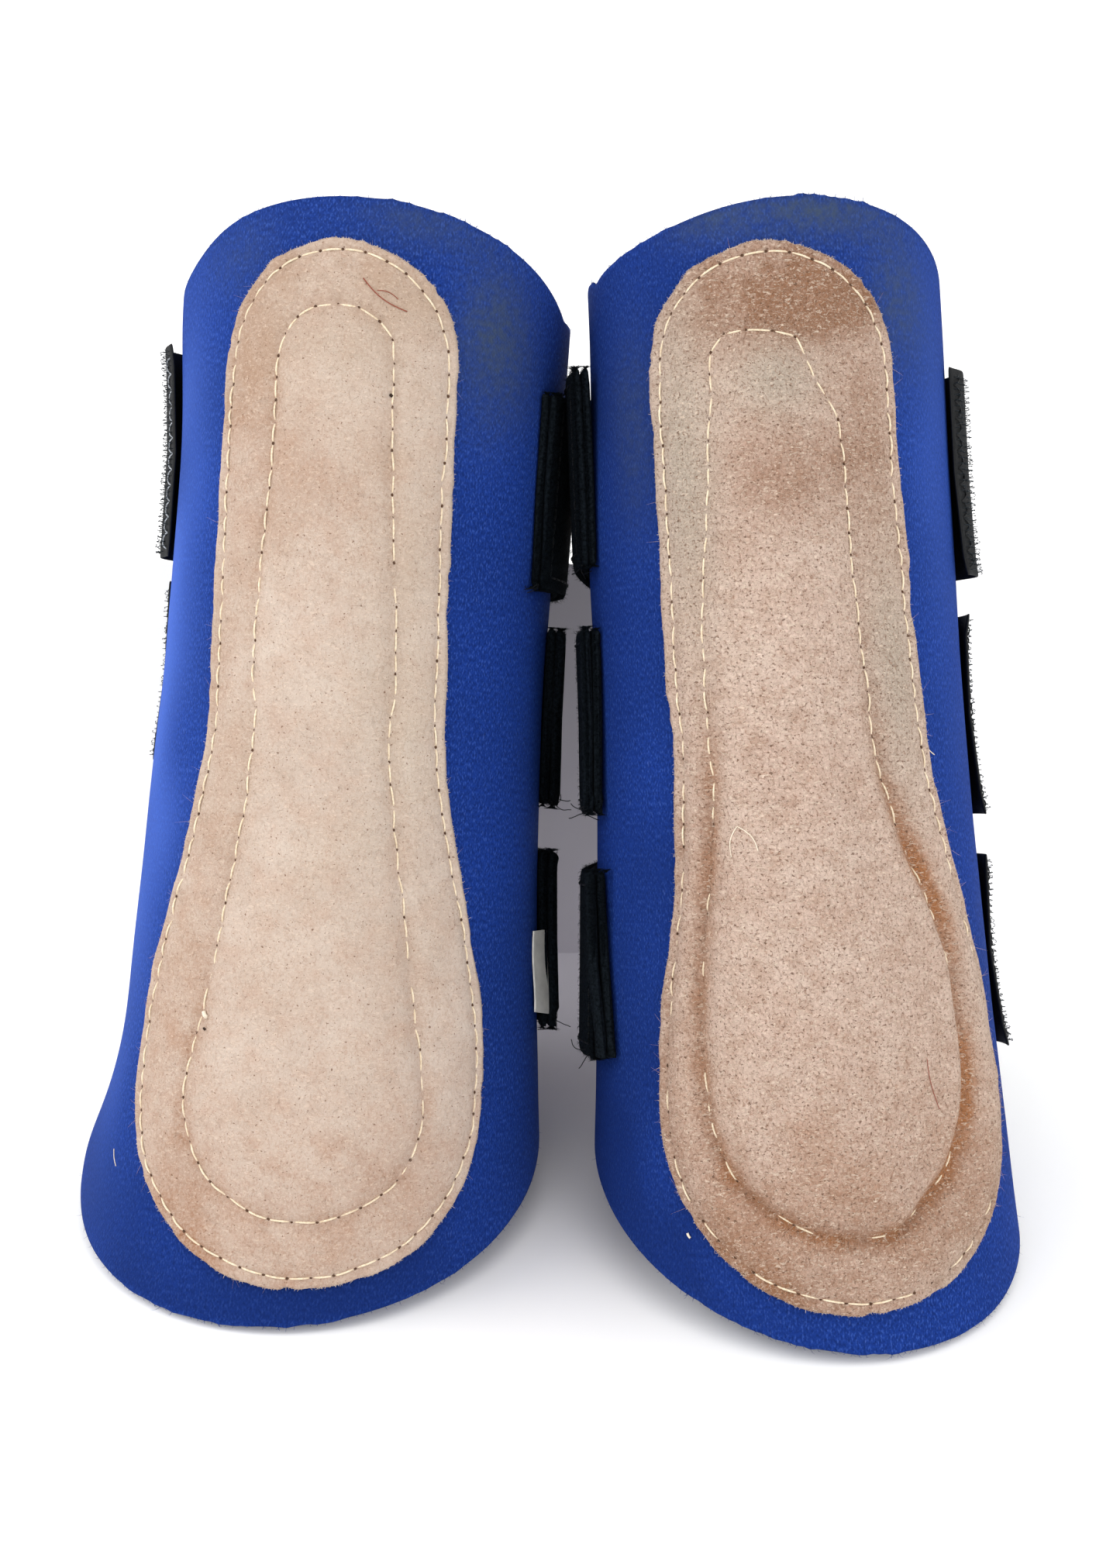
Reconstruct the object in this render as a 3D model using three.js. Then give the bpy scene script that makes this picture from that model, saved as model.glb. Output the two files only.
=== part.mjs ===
// A pair of wrap-around leg guards: foam-rubber shells, each wrapped into an open-backed tube,
// with a padded suede strike pad on the front and three hook-and-loop straps behind.
// Units are millimetres, +Z up. The pair stands on a floor at z = 0 and leans back.
import * as THREE from "three";

// ---------------------------------------------------------------- driving dimensions
const BOOT_HEIGHT = 250;          // bottom of the front lobe to the top of the dome, along the leg
const DEPTH_RATIO = 0.95;         // front-to-back over side-to-side of the tube
const SHELL_THICKNESS = 5;        // laminated foam rubber
const SHELL_EDGE = rad(158);      // where the shell's rear edges lie, from the front centre line
const DOME_DROP = 9.1;            // top edge falls by this times the square of the angle
const SHOULDER_DROP = 18;         // and stays level once it has fallen this far
const LOBE_RISE = 31.7;           // bottom edge rises by this times one minus the cosine
const HEEL_RISE = 43;             // and stays level once it has risen this far
const LINING_THICKNESS = 0.8;
const LINING_INSET = 3;           // lining stops short of the shell's edges by this
const LINING_GAP = 0.8;
const GAP = 0.3;                  // between pieces that lie on each other

const PAD_BOTTOM = 9;           // lowest and highest points of the suede pad, along the leg
const PAD_TOP = 240;
const PAD_TOP_RADIUS = 26.8;      // round top end, and the half width down to the waist
const PAD_TOE_RADIUS = 42;      // round bottom end
const PAD_WAIST = 138;            // flare from the waist starts at this height
const SUEDE_THICKNESS = 1.6;
const PAD_GAP = 0.5;              // between the pad and the shell it is sewn on
const OUTER_ROW_INSET = 2.3;      // stitch rows, measured in from the pad's edge
const INNER_ROW_INSET = 14;
const PAD_CROWN = 4.2;            // how far the foam lifts the middle of the pad
const CROWN_RAMP = 4;             // how quickly the crown rises inside the inner row
const THREAD = 0.7;
const RUNG_STEPS = 4;             // facets across the middle of the pad

const STRAP_HEIGHTS = { upper: [168, 213], middle: [118, 160], lower: [65, 107] };
const BASE_THICKNESS = 2.5;       // sewn strap end, two layers
const TAPE_THICKNESS = 1.6;
const BASE_TO = rad(145);         // strap ends are sewn down as far as this
const STRAP_FROM = rad(147.5);    // free strap, from the shell's rear edge
const STRAP_TO = rad(248);        // to over the hook patch on the far side
const HOOK_FROM = rad(-140);      // rear edge of the hook patches
const STRAP_LIFT = 2.4;           // free strap's height over the shell's face
const LABEL_SPAN = [rad(85), rad(92)];
const LABEL_HEIGHTS = [69, 88];
const LABEL_THICKNESS = 0.5;

const LEAN = rad(23);             // both guards lean back by this

// Each guard: which side its straps are sewn on (+1 is +X), how far it is turned and tipped,
// where the middle of its bottom stands, and the tube: half width at the top, what an even
// taper adds by the bottom, and what the flare adds. The pad's toe is set over by padDrift.
// The dome of the top edge and the lobe of the bottom edge are centred on domeAt and lobeAt.
// The straps are sewn on from baseFrom, and the hook patches end in front at hookTo.
const GUARDS = {
  left: {
    side: 1, turn: rad(-8), tip: rad(4.6), foot: [-59.2, 16.5],
    topHalfWidth: 45.4, taper: 0, flare: 12.3, padDrift: 8,
    domeAt: rad(2), lobeAt: rad(-4),
    baseFrom: { upper: rad(66), middle: rad(92), lower: rad(95) }, hookTo: rad(-82),
  },
  right: {
    side: -1, turn: rad(-2.6), tip: rad(-2.8), foot: [59.9, -0.5],
    topHalfWidth: 41.8, taper: 2, flare: 7.2, padDrift: 10.3,
    domeAt: rad(11.5), lobeAt: rad(19.5),
    baseFrom: { upper: rad(70), middle: rad(70), lower: rad(66) }, hookTo: rad(-74),
  },
};
const FLARE_HEIGHT = 150;         // the flare starts here and grows towards the bottom

// ---------------------------------------------------------------- colours
const BLUE = { color: 0x2a4696, roughness: 0.85, metalness: 0 };
const LINING_BLUE = { color: 0x223a80, roughness: 0.9, metalness: 0 };
const SUEDE = { color: 0xd8c0aa, roughness: 0.95, metalness: 0 };
const FOAM = { color: 0x30302f, roughness: 0.9, metalness: 0 };
const CREAM = { color: 0xf0e0c4, roughness: 0.6, metalness: 0 };
const BLACK = { color: 0x10151a, roughness: 0.9, metalness: 0 };
const WHITE = { color: 0xe9e7e0, roughness: 0.7, metalness: 0 };

function rad(degrees) {
  return (degrees * Math.PI) / 180;
}

function smooth(t) {
  const c = Math.min(1, Math.max(0, t));
  return c * c * (3 - 2 * c);
}

// ---------------------------------------------------------------- the wrapped surface
function halfWidth(guard, z) {
  const flare = guard.flare * Math.max(0, 1 - z / FLARE_HEIGHT) ** 1.5;
  return guard.topHalfWidth + guard.taper * (1 - z / BOOT_HEIGHT) + flare;
}

// A point of the tube: angle from the front centre line, height, and distance out from the
// shell's outer face.
function wrap(guard, angle, z, out) {
  const a = halfWidth(guard, z);
  const b = a * DEPTH_RATIO;
  const nx = b * Math.sin(angle);
  const ny = -a * Math.cos(angle);
  const n = Math.hypot(nx, ny);
  return new THREE.Vector3(a * Math.sin(angle) + (out * nx) / n, -b * Math.cos(angle) + (out * ny) / n, z);
}

function topEdge(guard, angle) {
  return BOOT_HEIGHT - Math.min(SHOULDER_DROP, DOME_DROP * (angle - guard.domeAt) ** 2);
}

function bottomEdge(guard, angle) {
  const turned = Math.min(Math.PI, Math.abs(angle - guard.lobeAt));
  return Math.min(HEEL_RISE, LOBE_RISE * (1 - Math.cos(turned)));
}

// ---------------------------------------------------------------- the pad's outline
const TOE_CENTRE = PAD_BOTTOM + PAD_TOE_RADIUS;
const TOP_CENTRE = PAD_TOP - PAD_TOP_RADIUS;

function padHalfWidth(z) {
  const flare = smooth((PAD_WAIST - z) / (PAD_WAIST - TOE_CENTRE));
  return THREE.MathUtils.lerp(PAD_TOP_RADIUS, PAD_TOE_RADIUS, flare);
}

// Closed outline of the pad, moved in by inset, as [distance across, height] pairs. It starts
// at the bottom, runs up the right side and comes down the left, so point k and point n - k
// mirror each other.
function padOutline(inset, arcSteps, sideSteps) {
  const right = [];
  for (let i = 0; i < arcSteps; i += 1) {
    const t = (i / arcSteps) * (Math.PI / 2);
    const r = PAD_TOE_RADIUS - inset;
    right.push([r * Math.sin(t), TOE_CENTRE - r * Math.cos(t)]);
  }
  for (let i = 0; i < sideSteps; i += 1) {
    const z = THREE.MathUtils.lerp(TOE_CENTRE, TOP_CENTRE, i / sideSteps);
    right.push([padHalfWidth(z) - inset, z]);
  }
  for (let i = 0; i <= arcSteps; i += 1) {
    const t = (i / arcSteps) * (Math.PI / 2);
    const r = PAD_TOP_RADIUS - inset;
    right.push([r * Math.cos(t), TOP_CENTRE + r * Math.sin(t)]);
  }
  const left = right.slice(1, -1).reverse().map(([across, z]) => [-across, z]);
  return [...right, ...left];
}

// The pad's middle line drifts sideways towards the toe.
function padAngle(guard, across, z) {
  const drift = guard.padDrift * smooth((PAD_TOP - z) / (PAD_TOP - PAD_BOTTOM));
  return (across + drift) / (halfWidth(guard, z) * (1 + DEPTH_RATIO) * 0.5);
}

// Height that the foam gives the suede at a distance in from the pad's edge.
function crown(inset) {
  const inside = Math.max(0, inset - INNER_ROW_INSET - THREAD);
  return PAD_CROWN * (1 - Math.exp(-inside / CROWN_RAMP));
}

// ---------------------------------------------------------------- closed solids
function solid(vertices, triangles) {
  let volume = 0;
  for (const [a, b, c] of triangles) {
    volume += vertices[a].dot(vertices[b].clone().cross(vertices[c]));
  }
  const outward = volume > 0 ? triangles : triangles.map(([a, b, c]) => [a, c, b]);
  const geometry = new THREE.BufferGeometry().setFromPoints(vertices);
  geometry.setIndex(outward.flat());
  geometry.computeVertexNormals();
  return geometry;
}

function quad(triangles, a, b, c, d) {
  triangles.push([a, b, c], [a, c, d]);
}

// A bent plate: place(s, t, out) gives a point for s and t from 0 to 1 and out at low or high.
function plate(place, across, up, low, high) {
  const vertices = [];
  const triangles = [];
  const index = (i, j, face) => (face * (across + 1) + i) * (up + 1) + j;
  for (const out of [high, low]) {
    for (let i = 0; i <= across; i += 1) {
      for (let j = 0; j <= up; j += 1) vertices.push(place(i / across, j / up, out));
    }
  }
  for (let i = 0; i < across; i += 1) {
    for (let j = 0; j < up; j += 1) {
      quad(triangles, index(i, j, 0), index(i + 1, j, 0), index(i + 1, j + 1, 0), index(i, j + 1, 0));
      quad(triangles, index(i, j, 1), index(i, j + 1, 1), index(i + 1, j + 1, 1), index(i + 1, j, 1));
    }
    quad(triangles, index(i, 0, 0), index(i, 0, 1), index(i + 1, 0, 1), index(i + 1, 0, 0));
    quad(triangles, index(i, up, 0), index(i + 1, up, 0), index(i + 1, up, 1), index(i, up, 1));
  }
  for (let j = 0; j < up; j += 1) {
    quad(triangles, index(0, j, 0), index(0, j + 1, 0), index(0, j + 1, 1), index(0, j, 1));
    quad(triangles, index(across, j, 0), index(across, j, 1), index(across, j + 1, 1), index(across, j + 1, 0));
  }
  return solid(vertices, triangles);
}

// A plate bounded by the pad's outline: rings of points at the given insets, and rungs across
// the middle of the last ring. low and high give the two faces' distance out at an inset.
function padPlate(guard, insets, arcSteps, sideSteps, low, high) {
  const vertices = [];
  const triangles = [];
  const outlines = insets.map((inset) => padOutline(inset, arcSteps, sideSteps));
  const count = outlines[0].length;
  const half = count / 2;
  const last = insets.length - 1;
  const faceSize = insets.length * count + (half - 1) * (RUNG_STEPS - 1);
  const ringIndex = (ring, k) => ring * count + ((k + count) % count);
  const rungIndex = (k, c) => {
    if (c === 0) return ringIndex(last, -k);
    if (c === RUNG_STEPS) return ringIndex(last, k);
    return insets.length * count + (k - 1) * (RUNG_STEPS - 1) + c - 1;
  };
  for (const face of [high, low]) {
    const put = (across, z, inset) => {
      vertices.push(wrap(guard, padAngle(guard, across, z), z, face(inset)));
    };
    outlines.forEach((outline, ring) => outline.forEach(([across, z]) => put(across, z, insets[ring])));
    for (let k = 1; k < half; k += 1) {
      const [across, z] = outlines[last][k];
      for (let c = 1; c < RUNG_STEPS; c += 1) put(across * ((2 * c) / RUNG_STEPS - 1), z, insets[last]);
    }
  }
  const both = (a, b, c, d) => {
    quad(triangles, a, b, c, d);
    quad(triangles, d + faceSize, c + faceSize, b + faceSize, a + faceSize);
  };
  const cap = (tip, k, flip) => {
    for (let c = 0; c < RUNG_STEPS; c += 1) {
      const [a, b] = flip ? [rungIndex(k, c + 1), rungIndex(k, c)] : [rungIndex(k, c), rungIndex(k, c + 1)];
      triangles.push([tip, b, a], [tip + faceSize, a + faceSize, b + faceSize]);
    }
  };
  for (let k = 0; k < count; k += 1) {
    for (let ring = 0; ring < last; ring += 1) {
      both(ringIndex(ring, k), ringIndex(ring, k + 1), ringIndex(ring + 1, k + 1), ringIndex(ring + 1, k));
    }
    const [a, b] = [ringIndex(0, k), ringIndex(0, k + 1)];
    quad(triangles, a, a + faceSize, b + faceSize, b);
  }
  for (let k = 1; k < half - 1; k += 1) {
    for (let c = 0; c < RUNG_STEPS; c += 1) {
      both(rungIndex(k, c), rungIndex(k, c + 1), rungIndex(k + 1, c + 1), rungIndex(k + 1, c));
    }
  }
  cap(ringIndex(last, 0), 1, false);
  cap(ringIndex(last, half), half - 1, true);
  return solid(vertices, triangles);
}

// A closed row of stitching: a ring of square section, lying on the suede at an inset.
function stitchRow(guard, inset) {
  const low = PAD_GAP + SUEDE_THICKNESS + GAP;
  const corners = [[inset - THREAD / 2, low], [inset + THREAD / 2, low],
    [inset + THREAD / 2, low + THREAD], [inset - THREAD / 2, low + THREAD]];
  const vertices = [];
  const triangles = [];
  const count = padOutline(0, 7, 9).length;
  for (const [cornerInset, out] of corners) {
    for (const [across, z] of padOutline(cornerInset, 7, 9)) {
      vertices.push(wrap(guard, padAngle(guard, across, z), z, out));
    }
  }
  for (let c = 0; c < 4; c += 1) {
    for (let k = 0; k < count; k += 1) {
      const next = (k + 1) % count;
      const other = (c + 1) % 4;
      quad(triangles, c * count + k, c * count + next, other * count + next, other * count + k);
    }
  }
  return solid(vertices, triangles);
}

// ---------------------------------------------------------------- one guard's pieces
function shell(guard, inset, low, high, across, up) {
  const place = (s, t, out) => {
    const edge = SHELL_EDGE - inset / halfWidth(guard, BOOT_HEIGHT / 2);
    const angle = THREE.MathUtils.lerp(-edge, edge, s);
    const z = THREE.MathUtils.lerp(bottomEdge(guard, angle) + inset, topEdge(guard, angle) - inset, t);
    return wrap(guard, angle, z, out);
  };
  return plate(place, across, up, low, high);
}

// A band of tape round the tube between two angles and two heights.
function band(guard, from, to, heights, low, high, across) {
  const place = (s, t, out) => {
    const angle = THREE.MathUtils.lerp(from, to, s) * guard.side;
    return wrap(guard, angle, THREE.MathUtils.lerp(heights[0], heights[1], t), out);
  };
  return plate(place, across, 1, low, high);
}

function makeGuard(name, guard) {
  const group = new THREE.Group();
  const add = (part, geometry, finish) => {
    const mesh = new THREE.Mesh(geometry, new THREE.MeshStandardMaterial(finish));
    mesh.name = `${name}_${part}`;
    group.add(mesh);
  };
  add("shell", shell(guard, 0, -SHELL_THICKNESS, 0, 36, 9), BLUE);
  const liningOuter = -SHELL_THICKNESS - LINING_GAP;
  add("lining", shell(guard, LINING_INSET, liningOuter - LINING_THICKNESS, liningOuter, 24, 7), LINING_BLUE);

  const suedeLow = (inset) => PAD_GAP + crown(inset);
  const suedeHigh = (inset) => suedeLow(inset) + SUEDE_THICKNESS;
  const rowEdge = INNER_ROW_INSET + THREAD;
  add("suede_pad", padPlate(guard, [0, 7, rowEdge, 17, 20, 25], 7, 9, suedeLow, suedeHigh), SUEDE);
  const foamHigh = (inset) => crown(inset) + PAD_GAP - GAP;
  add("pad_foam", padPlate(guard, [17, 20, 25], 7, 9, () => PAD_GAP, foamHigh), FOAM);
  add("outer_stitch_row", stitchRow(guard, OUTER_ROW_INSET), CREAM);
  add("inner_stitch_row", stitchRow(guard, INNER_ROW_INSET), CREAM);

  for (const [level, heights] of Object.entries(STRAP_HEIGHTS)) {
    const tape = (part, from, to, low, high, across) => {
      add(`${part}_${level}`, band(guard, from, to, heights, low, high, across), BLACK);
    };
    tape("strap_base", guard.baseFrom[level], BASE_TO, GAP, GAP + BASE_THICKNESS, 9);
    tape("strap", STRAP_FROM, STRAP_TO, STRAP_LIFT, STRAP_LIFT + TAPE_THICKNESS, 14);
    tape("hook_patch", HOOK_FROM, guard.hookTo, GAP, GAP + TAPE_THICKNESS, 8);
  }
  if (name === "left") {
    const [from, to] = LABEL_SPAN;
    add("care_label", band(guard, from, to, LABEL_HEIGHTS, GAP, GAP + LABEL_THICKNESS, 2), WHITE);
  }
  group.rotation.set(-LEAN, guard.tip, guard.turn, "XYZ");
  group.position.set(guard.foot[0], guard.foot[1], 0);
  return group;
}

// ---------------------------------------------------------------- the pair
// Each guard is lowered on to the floor, then the pair's middle is brought to x = y = 0.
const pair = new THREE.Group();
for (const [name, guard] of Object.entries(GUARDS)) {
  const group = makeGuard(name, guard);
  group.updateMatrixWorld(true);
  group.position.z -= new THREE.Box3().setFromObject(group, true).min.z;
  pair.add(group);
}
pair.updateMatrixWorld(true);
const middle = new THREE.Box3().setFromObject(pair, true).getCenter(new THREE.Vector3());
pair.position.set(-middle.x, -middle.y, 0);

export default pair;
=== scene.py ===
"""The looks of a pair of wrap-around leg guards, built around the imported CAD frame.

Each guard is worked out in its own millimetre frame: an angle round the tube from the front
centre line, a height along the leg, and a distance out from the shell's face. place() turns
that into the shared frame in metres.
"""

import bpy
import numpy as np
from mathutils import Matrix, Vector


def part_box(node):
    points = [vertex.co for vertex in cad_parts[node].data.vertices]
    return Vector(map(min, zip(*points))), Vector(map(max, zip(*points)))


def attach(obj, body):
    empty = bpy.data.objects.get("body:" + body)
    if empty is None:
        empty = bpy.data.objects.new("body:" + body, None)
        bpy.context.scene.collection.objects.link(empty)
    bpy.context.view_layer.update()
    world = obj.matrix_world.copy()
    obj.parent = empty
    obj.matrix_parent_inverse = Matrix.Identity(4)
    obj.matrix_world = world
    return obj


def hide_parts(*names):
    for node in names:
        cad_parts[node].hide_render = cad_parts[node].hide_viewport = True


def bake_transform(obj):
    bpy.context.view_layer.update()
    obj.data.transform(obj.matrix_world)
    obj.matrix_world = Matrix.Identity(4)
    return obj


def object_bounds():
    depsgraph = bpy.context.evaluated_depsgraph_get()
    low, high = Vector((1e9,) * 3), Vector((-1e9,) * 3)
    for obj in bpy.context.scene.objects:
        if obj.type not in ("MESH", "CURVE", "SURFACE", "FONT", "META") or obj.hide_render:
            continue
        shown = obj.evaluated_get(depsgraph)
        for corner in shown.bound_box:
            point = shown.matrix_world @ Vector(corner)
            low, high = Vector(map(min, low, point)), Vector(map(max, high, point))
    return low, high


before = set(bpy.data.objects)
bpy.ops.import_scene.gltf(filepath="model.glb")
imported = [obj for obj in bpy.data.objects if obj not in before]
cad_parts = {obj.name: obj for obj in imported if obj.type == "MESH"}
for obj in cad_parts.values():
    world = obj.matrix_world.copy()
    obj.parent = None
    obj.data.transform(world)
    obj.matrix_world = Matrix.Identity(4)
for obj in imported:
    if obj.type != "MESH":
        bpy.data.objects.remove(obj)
cad_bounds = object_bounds()

MM = 0.001
rng = np.random.default_rng(7)

# ------------------------------------------------------------------ dimensions shared with the CAD
BOOT_HEIGHT = 250
DEPTH_RATIO = 0.95
SHELL_THICKNESS = 5
SHELL_EDGE = np.radians(158)
DOME_DROP = 9.1
SHOULDER_DROP = 18
LOBE_RISE = 31.7
HEEL_RISE = 43
FLARE_HEIGHT = 150
PAD_BOTTOM = 9
PAD_TOP = 240
PAD_TOP_RADIUS = 26.8
PAD_TOE_RADIUS = 42
PAD_WAIST = 138
PAD_GAP = 0.3
SUEDE_THICKNESS = 1.7
OUTER_ROW_INSET = 2.3
INNER_ROW_INSET = 14
TOE_CENTRE = PAD_BOTTOM + PAD_TOE_RADIUS
TOP_CENTRE = PAD_TOP - PAD_TOP_RADIUS
STRAP_HEIGHTS = {"upper": (168, 213), "middle": (118, 160), "lower": (65, 107)}
BASE_TO = np.radians(149)
HINGE_ANGLE = np.radians(147.5)
STRAP_TO = np.radians(248)
HOOK_FROM = np.radians(-140)
STRAP_LIFT = 2.4
LABEL_SPAN = (np.radians(85), np.radians(92))
LABEL_HEIGHTS = (69, 88)
LEAN = np.radians(23)
CAD_SHELL_STEPS = (36, 9)

# ------------------------------------------------------------------ dimensions of the looks
STITCH_PITCH = 4.9
THREAD_RADIUS = 0.23
STITCH_SINK = 0.45                  # how far a lost stitch has sunk into the nap
TAPE_STITCH_PITCH = 3.2
TAPE_STITCH_INSET = 3
TAPE_THREAD_RADIUS = 0.22
ZIGZAG_PITCH = 1.9
ZIGZAG_SWING = (1.4, 4.2)           # where the zigzag turns back, in from the tape's edge
ZIGZAG_RADIUS = 0.17
HOOK_PITCH = (1.5, 1.3)
HOOK_SHARE = 0.93                   # of the hooks that are left on the tape
HOOK_RADIUS = 0.09
STRAP_SIDE_CUT = 2.8                # how much further out the right pad is cut on that side
BEND_HALF_ANGLE = 0.09              # points this far to both sides of a strap's hinge are worked out, and not used further
BEND_LIFT = 2.8
# The tapes' brushed nap, as (how many fibres, their length, their radius).
FOLD_BRUSH = (1200, 0.7, 0.05)
FACE_BRUSH = (3000, 0.7, 0.045)
FRONT_BRUSH = (2600, 0.9, 0.05)
# Each hook tape: front edge in degrees, heights, how far it bulges behind its front edge, how
# far that edge springs off the shell, and how much more its lower and upper corners curl.
HOOK_TAPES = {
    "left": {"upper": (-76, (170, 221), 3.6, 0.3, 0.0, 1.2), "middle": (-87, (121, 165), 0.8, 0.4, 0.4, 0.5),
             "lower": (-91, (60, 107), 0.6, 0.2, 1.8, 0.5)},
    "right": {"upper": (-75, (168, 216), 3.2, 0.4, 2.0, 0.0), "middle": (-88, (113, 160), 0.8, 0.5, 2.0, 1.4),
              "lower": (-88, (59, 104), 0.6, 0.4, 1.8, 1.2)},
}
# The sewn end of each strap: its edge's slant in degrees from middle to corner, how much further
# round than the CAD's it begins, and how far it sits above its place at the back, in mm.
SEWN_ENDS = {
    "left": {"upper": (-1.2, 3, 0), "middle": (-2.5, 0, 0), "lower": (1.5, 0, 0)},
    "right": {"upper": (0, 0, 6.5), "middle": (0, 0, 0), "lower": (5, 0, -2.5)},
}
TAPE_THICKNESS = 1.7
FOLD_THICKNESS = 1.75
TAPE_TIP = 0.8 / 46                 # angle over which a tape's end rounds off
EDGE_BEAD = {"upper": 0.35, "middle": 1.2, "lower": 1.2}
SEWN_LIFT = 2.3                     # underside of the strap where it lies on its folded end
HOOK_TAPE_THICKNESS = 0.8
# Profile of one hook: (height, how far it has curled over) from its root to its tip.
HOOK_SHAPE = [(0.0, 0.0), (0.55, 0.02), (0.95, 0.12), (1.15, 0.36), (1.05, 0.62), (0.78, 0.7)]
# The shell's raw edge, a ring at a time: (out, inset). The foam is set back between two jerseys.
EDGE_RINGS = [(0.0, 0.0), (-0.35, -0.16), (-0.75, -0.05), (-1.0, 0.22), (-2.5, 0.3), (-4.0, 0.22),
              (-4.25, -0.05), (-4.65, -0.16), (-SHELL_THICKNESS, 0.0)]
# Patches of wear and dirt, and on the shell patches of painted light: (strength, place across, its width,
# height, its width).
RUBBED = {"left": [(0.7, 38, 12, 221, 18), (0.5, 16, 18, 246, 7), (0.35, -30, 12, 238, 10)],
          "right": [(1.0, 6, 22, 247, 7), (0.5, 32, 12, 228, 18), (0.3, -34, 9, 205, 24)]}
# Painted light: lighter patches on the outer side of each guard, where the lamps fall.
PAINTED_LIGHT_PATCHES = {"left": [(0.75, -52, 17, 135, 75)], "right": [(0.2, 46, 12, 190, 60)]}
BROWN = {"left": [(0.45, -18, 10, 210, 22), (0.32, 2, 16, 180, 16)],
         "right": [(2.2, 3, 20, 227, 9), (0.8, 19, 7, 200, 24), (0.7, 2, 11, 190, 13)]}
GREY = {"left": [(0.40, 19, 12, 150, 60)],
        "right": [(0.95, -20, 7, 192, 36), (0.9, 0, 9, 210, 8), (0.85, 20, 6, 148, 26)]}
# Hairs and lint on each guard: kind, start and end as (across, height), bow and radius.
LOOSE_BITS = {
    "left": [("hair", (5, 231.5), (14.5, 225), 1.1, 0.13),
             ("hair", (8, 229), (12.5, 227.5), -0.6, 0.10),
             ("speck", (12, 206.4), (12.5, 206), 0.0, 0.34),
             ("lint", (-50, 32), (-48, 28.5), 0.3, 0.09),
             ("speck", (-22, 63), (-21.6, 62.8), 0.0, 0.3),
             ("lint", (-22.6, 66.5), (-21.4, 65.6), 0.2, 0.5)],
    "right": [("lint", (-15.5, 114), (-17.5, 107.5), 0.8, 0.13),
              ("lint", (-15.5, 114), (-12.5, 108.5), -0.9, 0.12),
              ("lint", (27.6, 132), (30.8, 127.4), 0.9, 0.12),
              ("lint", (-38, 26), (-37.4, 25), 0.1, 0.3),
              ("hair", (15, 62), (17.2, 51), 0.7, 0.09)],
}
# How many points make up the shell and the pad, and how many fibres stand on them.
SHELL_GRID = (168, 190)
EDGE_FUZZ_COUNT = 1100
ARC_STEPS = 56
SIDE_STEPS = 118
RUNGS = 34
PAD_INSETS = np.concatenate([[0, 0.25, 0.6, 1.0, 1.5, 1.9, 2.3, 2.7, 3.2, 3.9],
                             np.arange(4.8, 12.4, 0.95),
                             [12.8, 13.3, 13.7, 14.0, 14.3, 14.7, 15.2, 15.8],
                             np.arange(16.6, 26.6, 0.9)])
NAP_COUNT = 11000
FRAY_COUNT = 3200
WELD_DISTANCE = 0.00001


def smooth(t):
    c = np.clip(t, 0, 1)
    return c * c * (3 - 2 * c)


def bump(x, centre, width):
    """A smooth hill of height 1."""
    return np.exp(-(((x - centre) / width) ** 2))


def patches(rows, x, y):
    """Soft patches added up: each row is (strength, x, its width, y, its width)."""
    return sum(strength * bump(x, x_at, x_width) * bump(y, y_at, y_width)
               for strength, x_at, x_width, y_at, y_width in rows)


def mix(a, b, t):
    return a + (b - a) * t


def value_noise(x, y, seed):
    """Smooth noise from -1 to 1 over the plane, one cell to a unit."""
    table = np.random.default_rng(seed).uniform(-1, 1, (64, 64))
    xi = np.floor(x).astype(int)
    yi = np.floor(y).astype(int)
    fx = smooth(x - xi)
    fy = smooth(y - yi)

    def corner(i, j):
        return table[(xi + i) % 64, (yi + j) % 64]

    low = mix(corner(0, 0), corner(1, 0), fx)
    high = mix(corner(0, 1), corner(1, 1), fx)
    return mix(low, high, fy)


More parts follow.
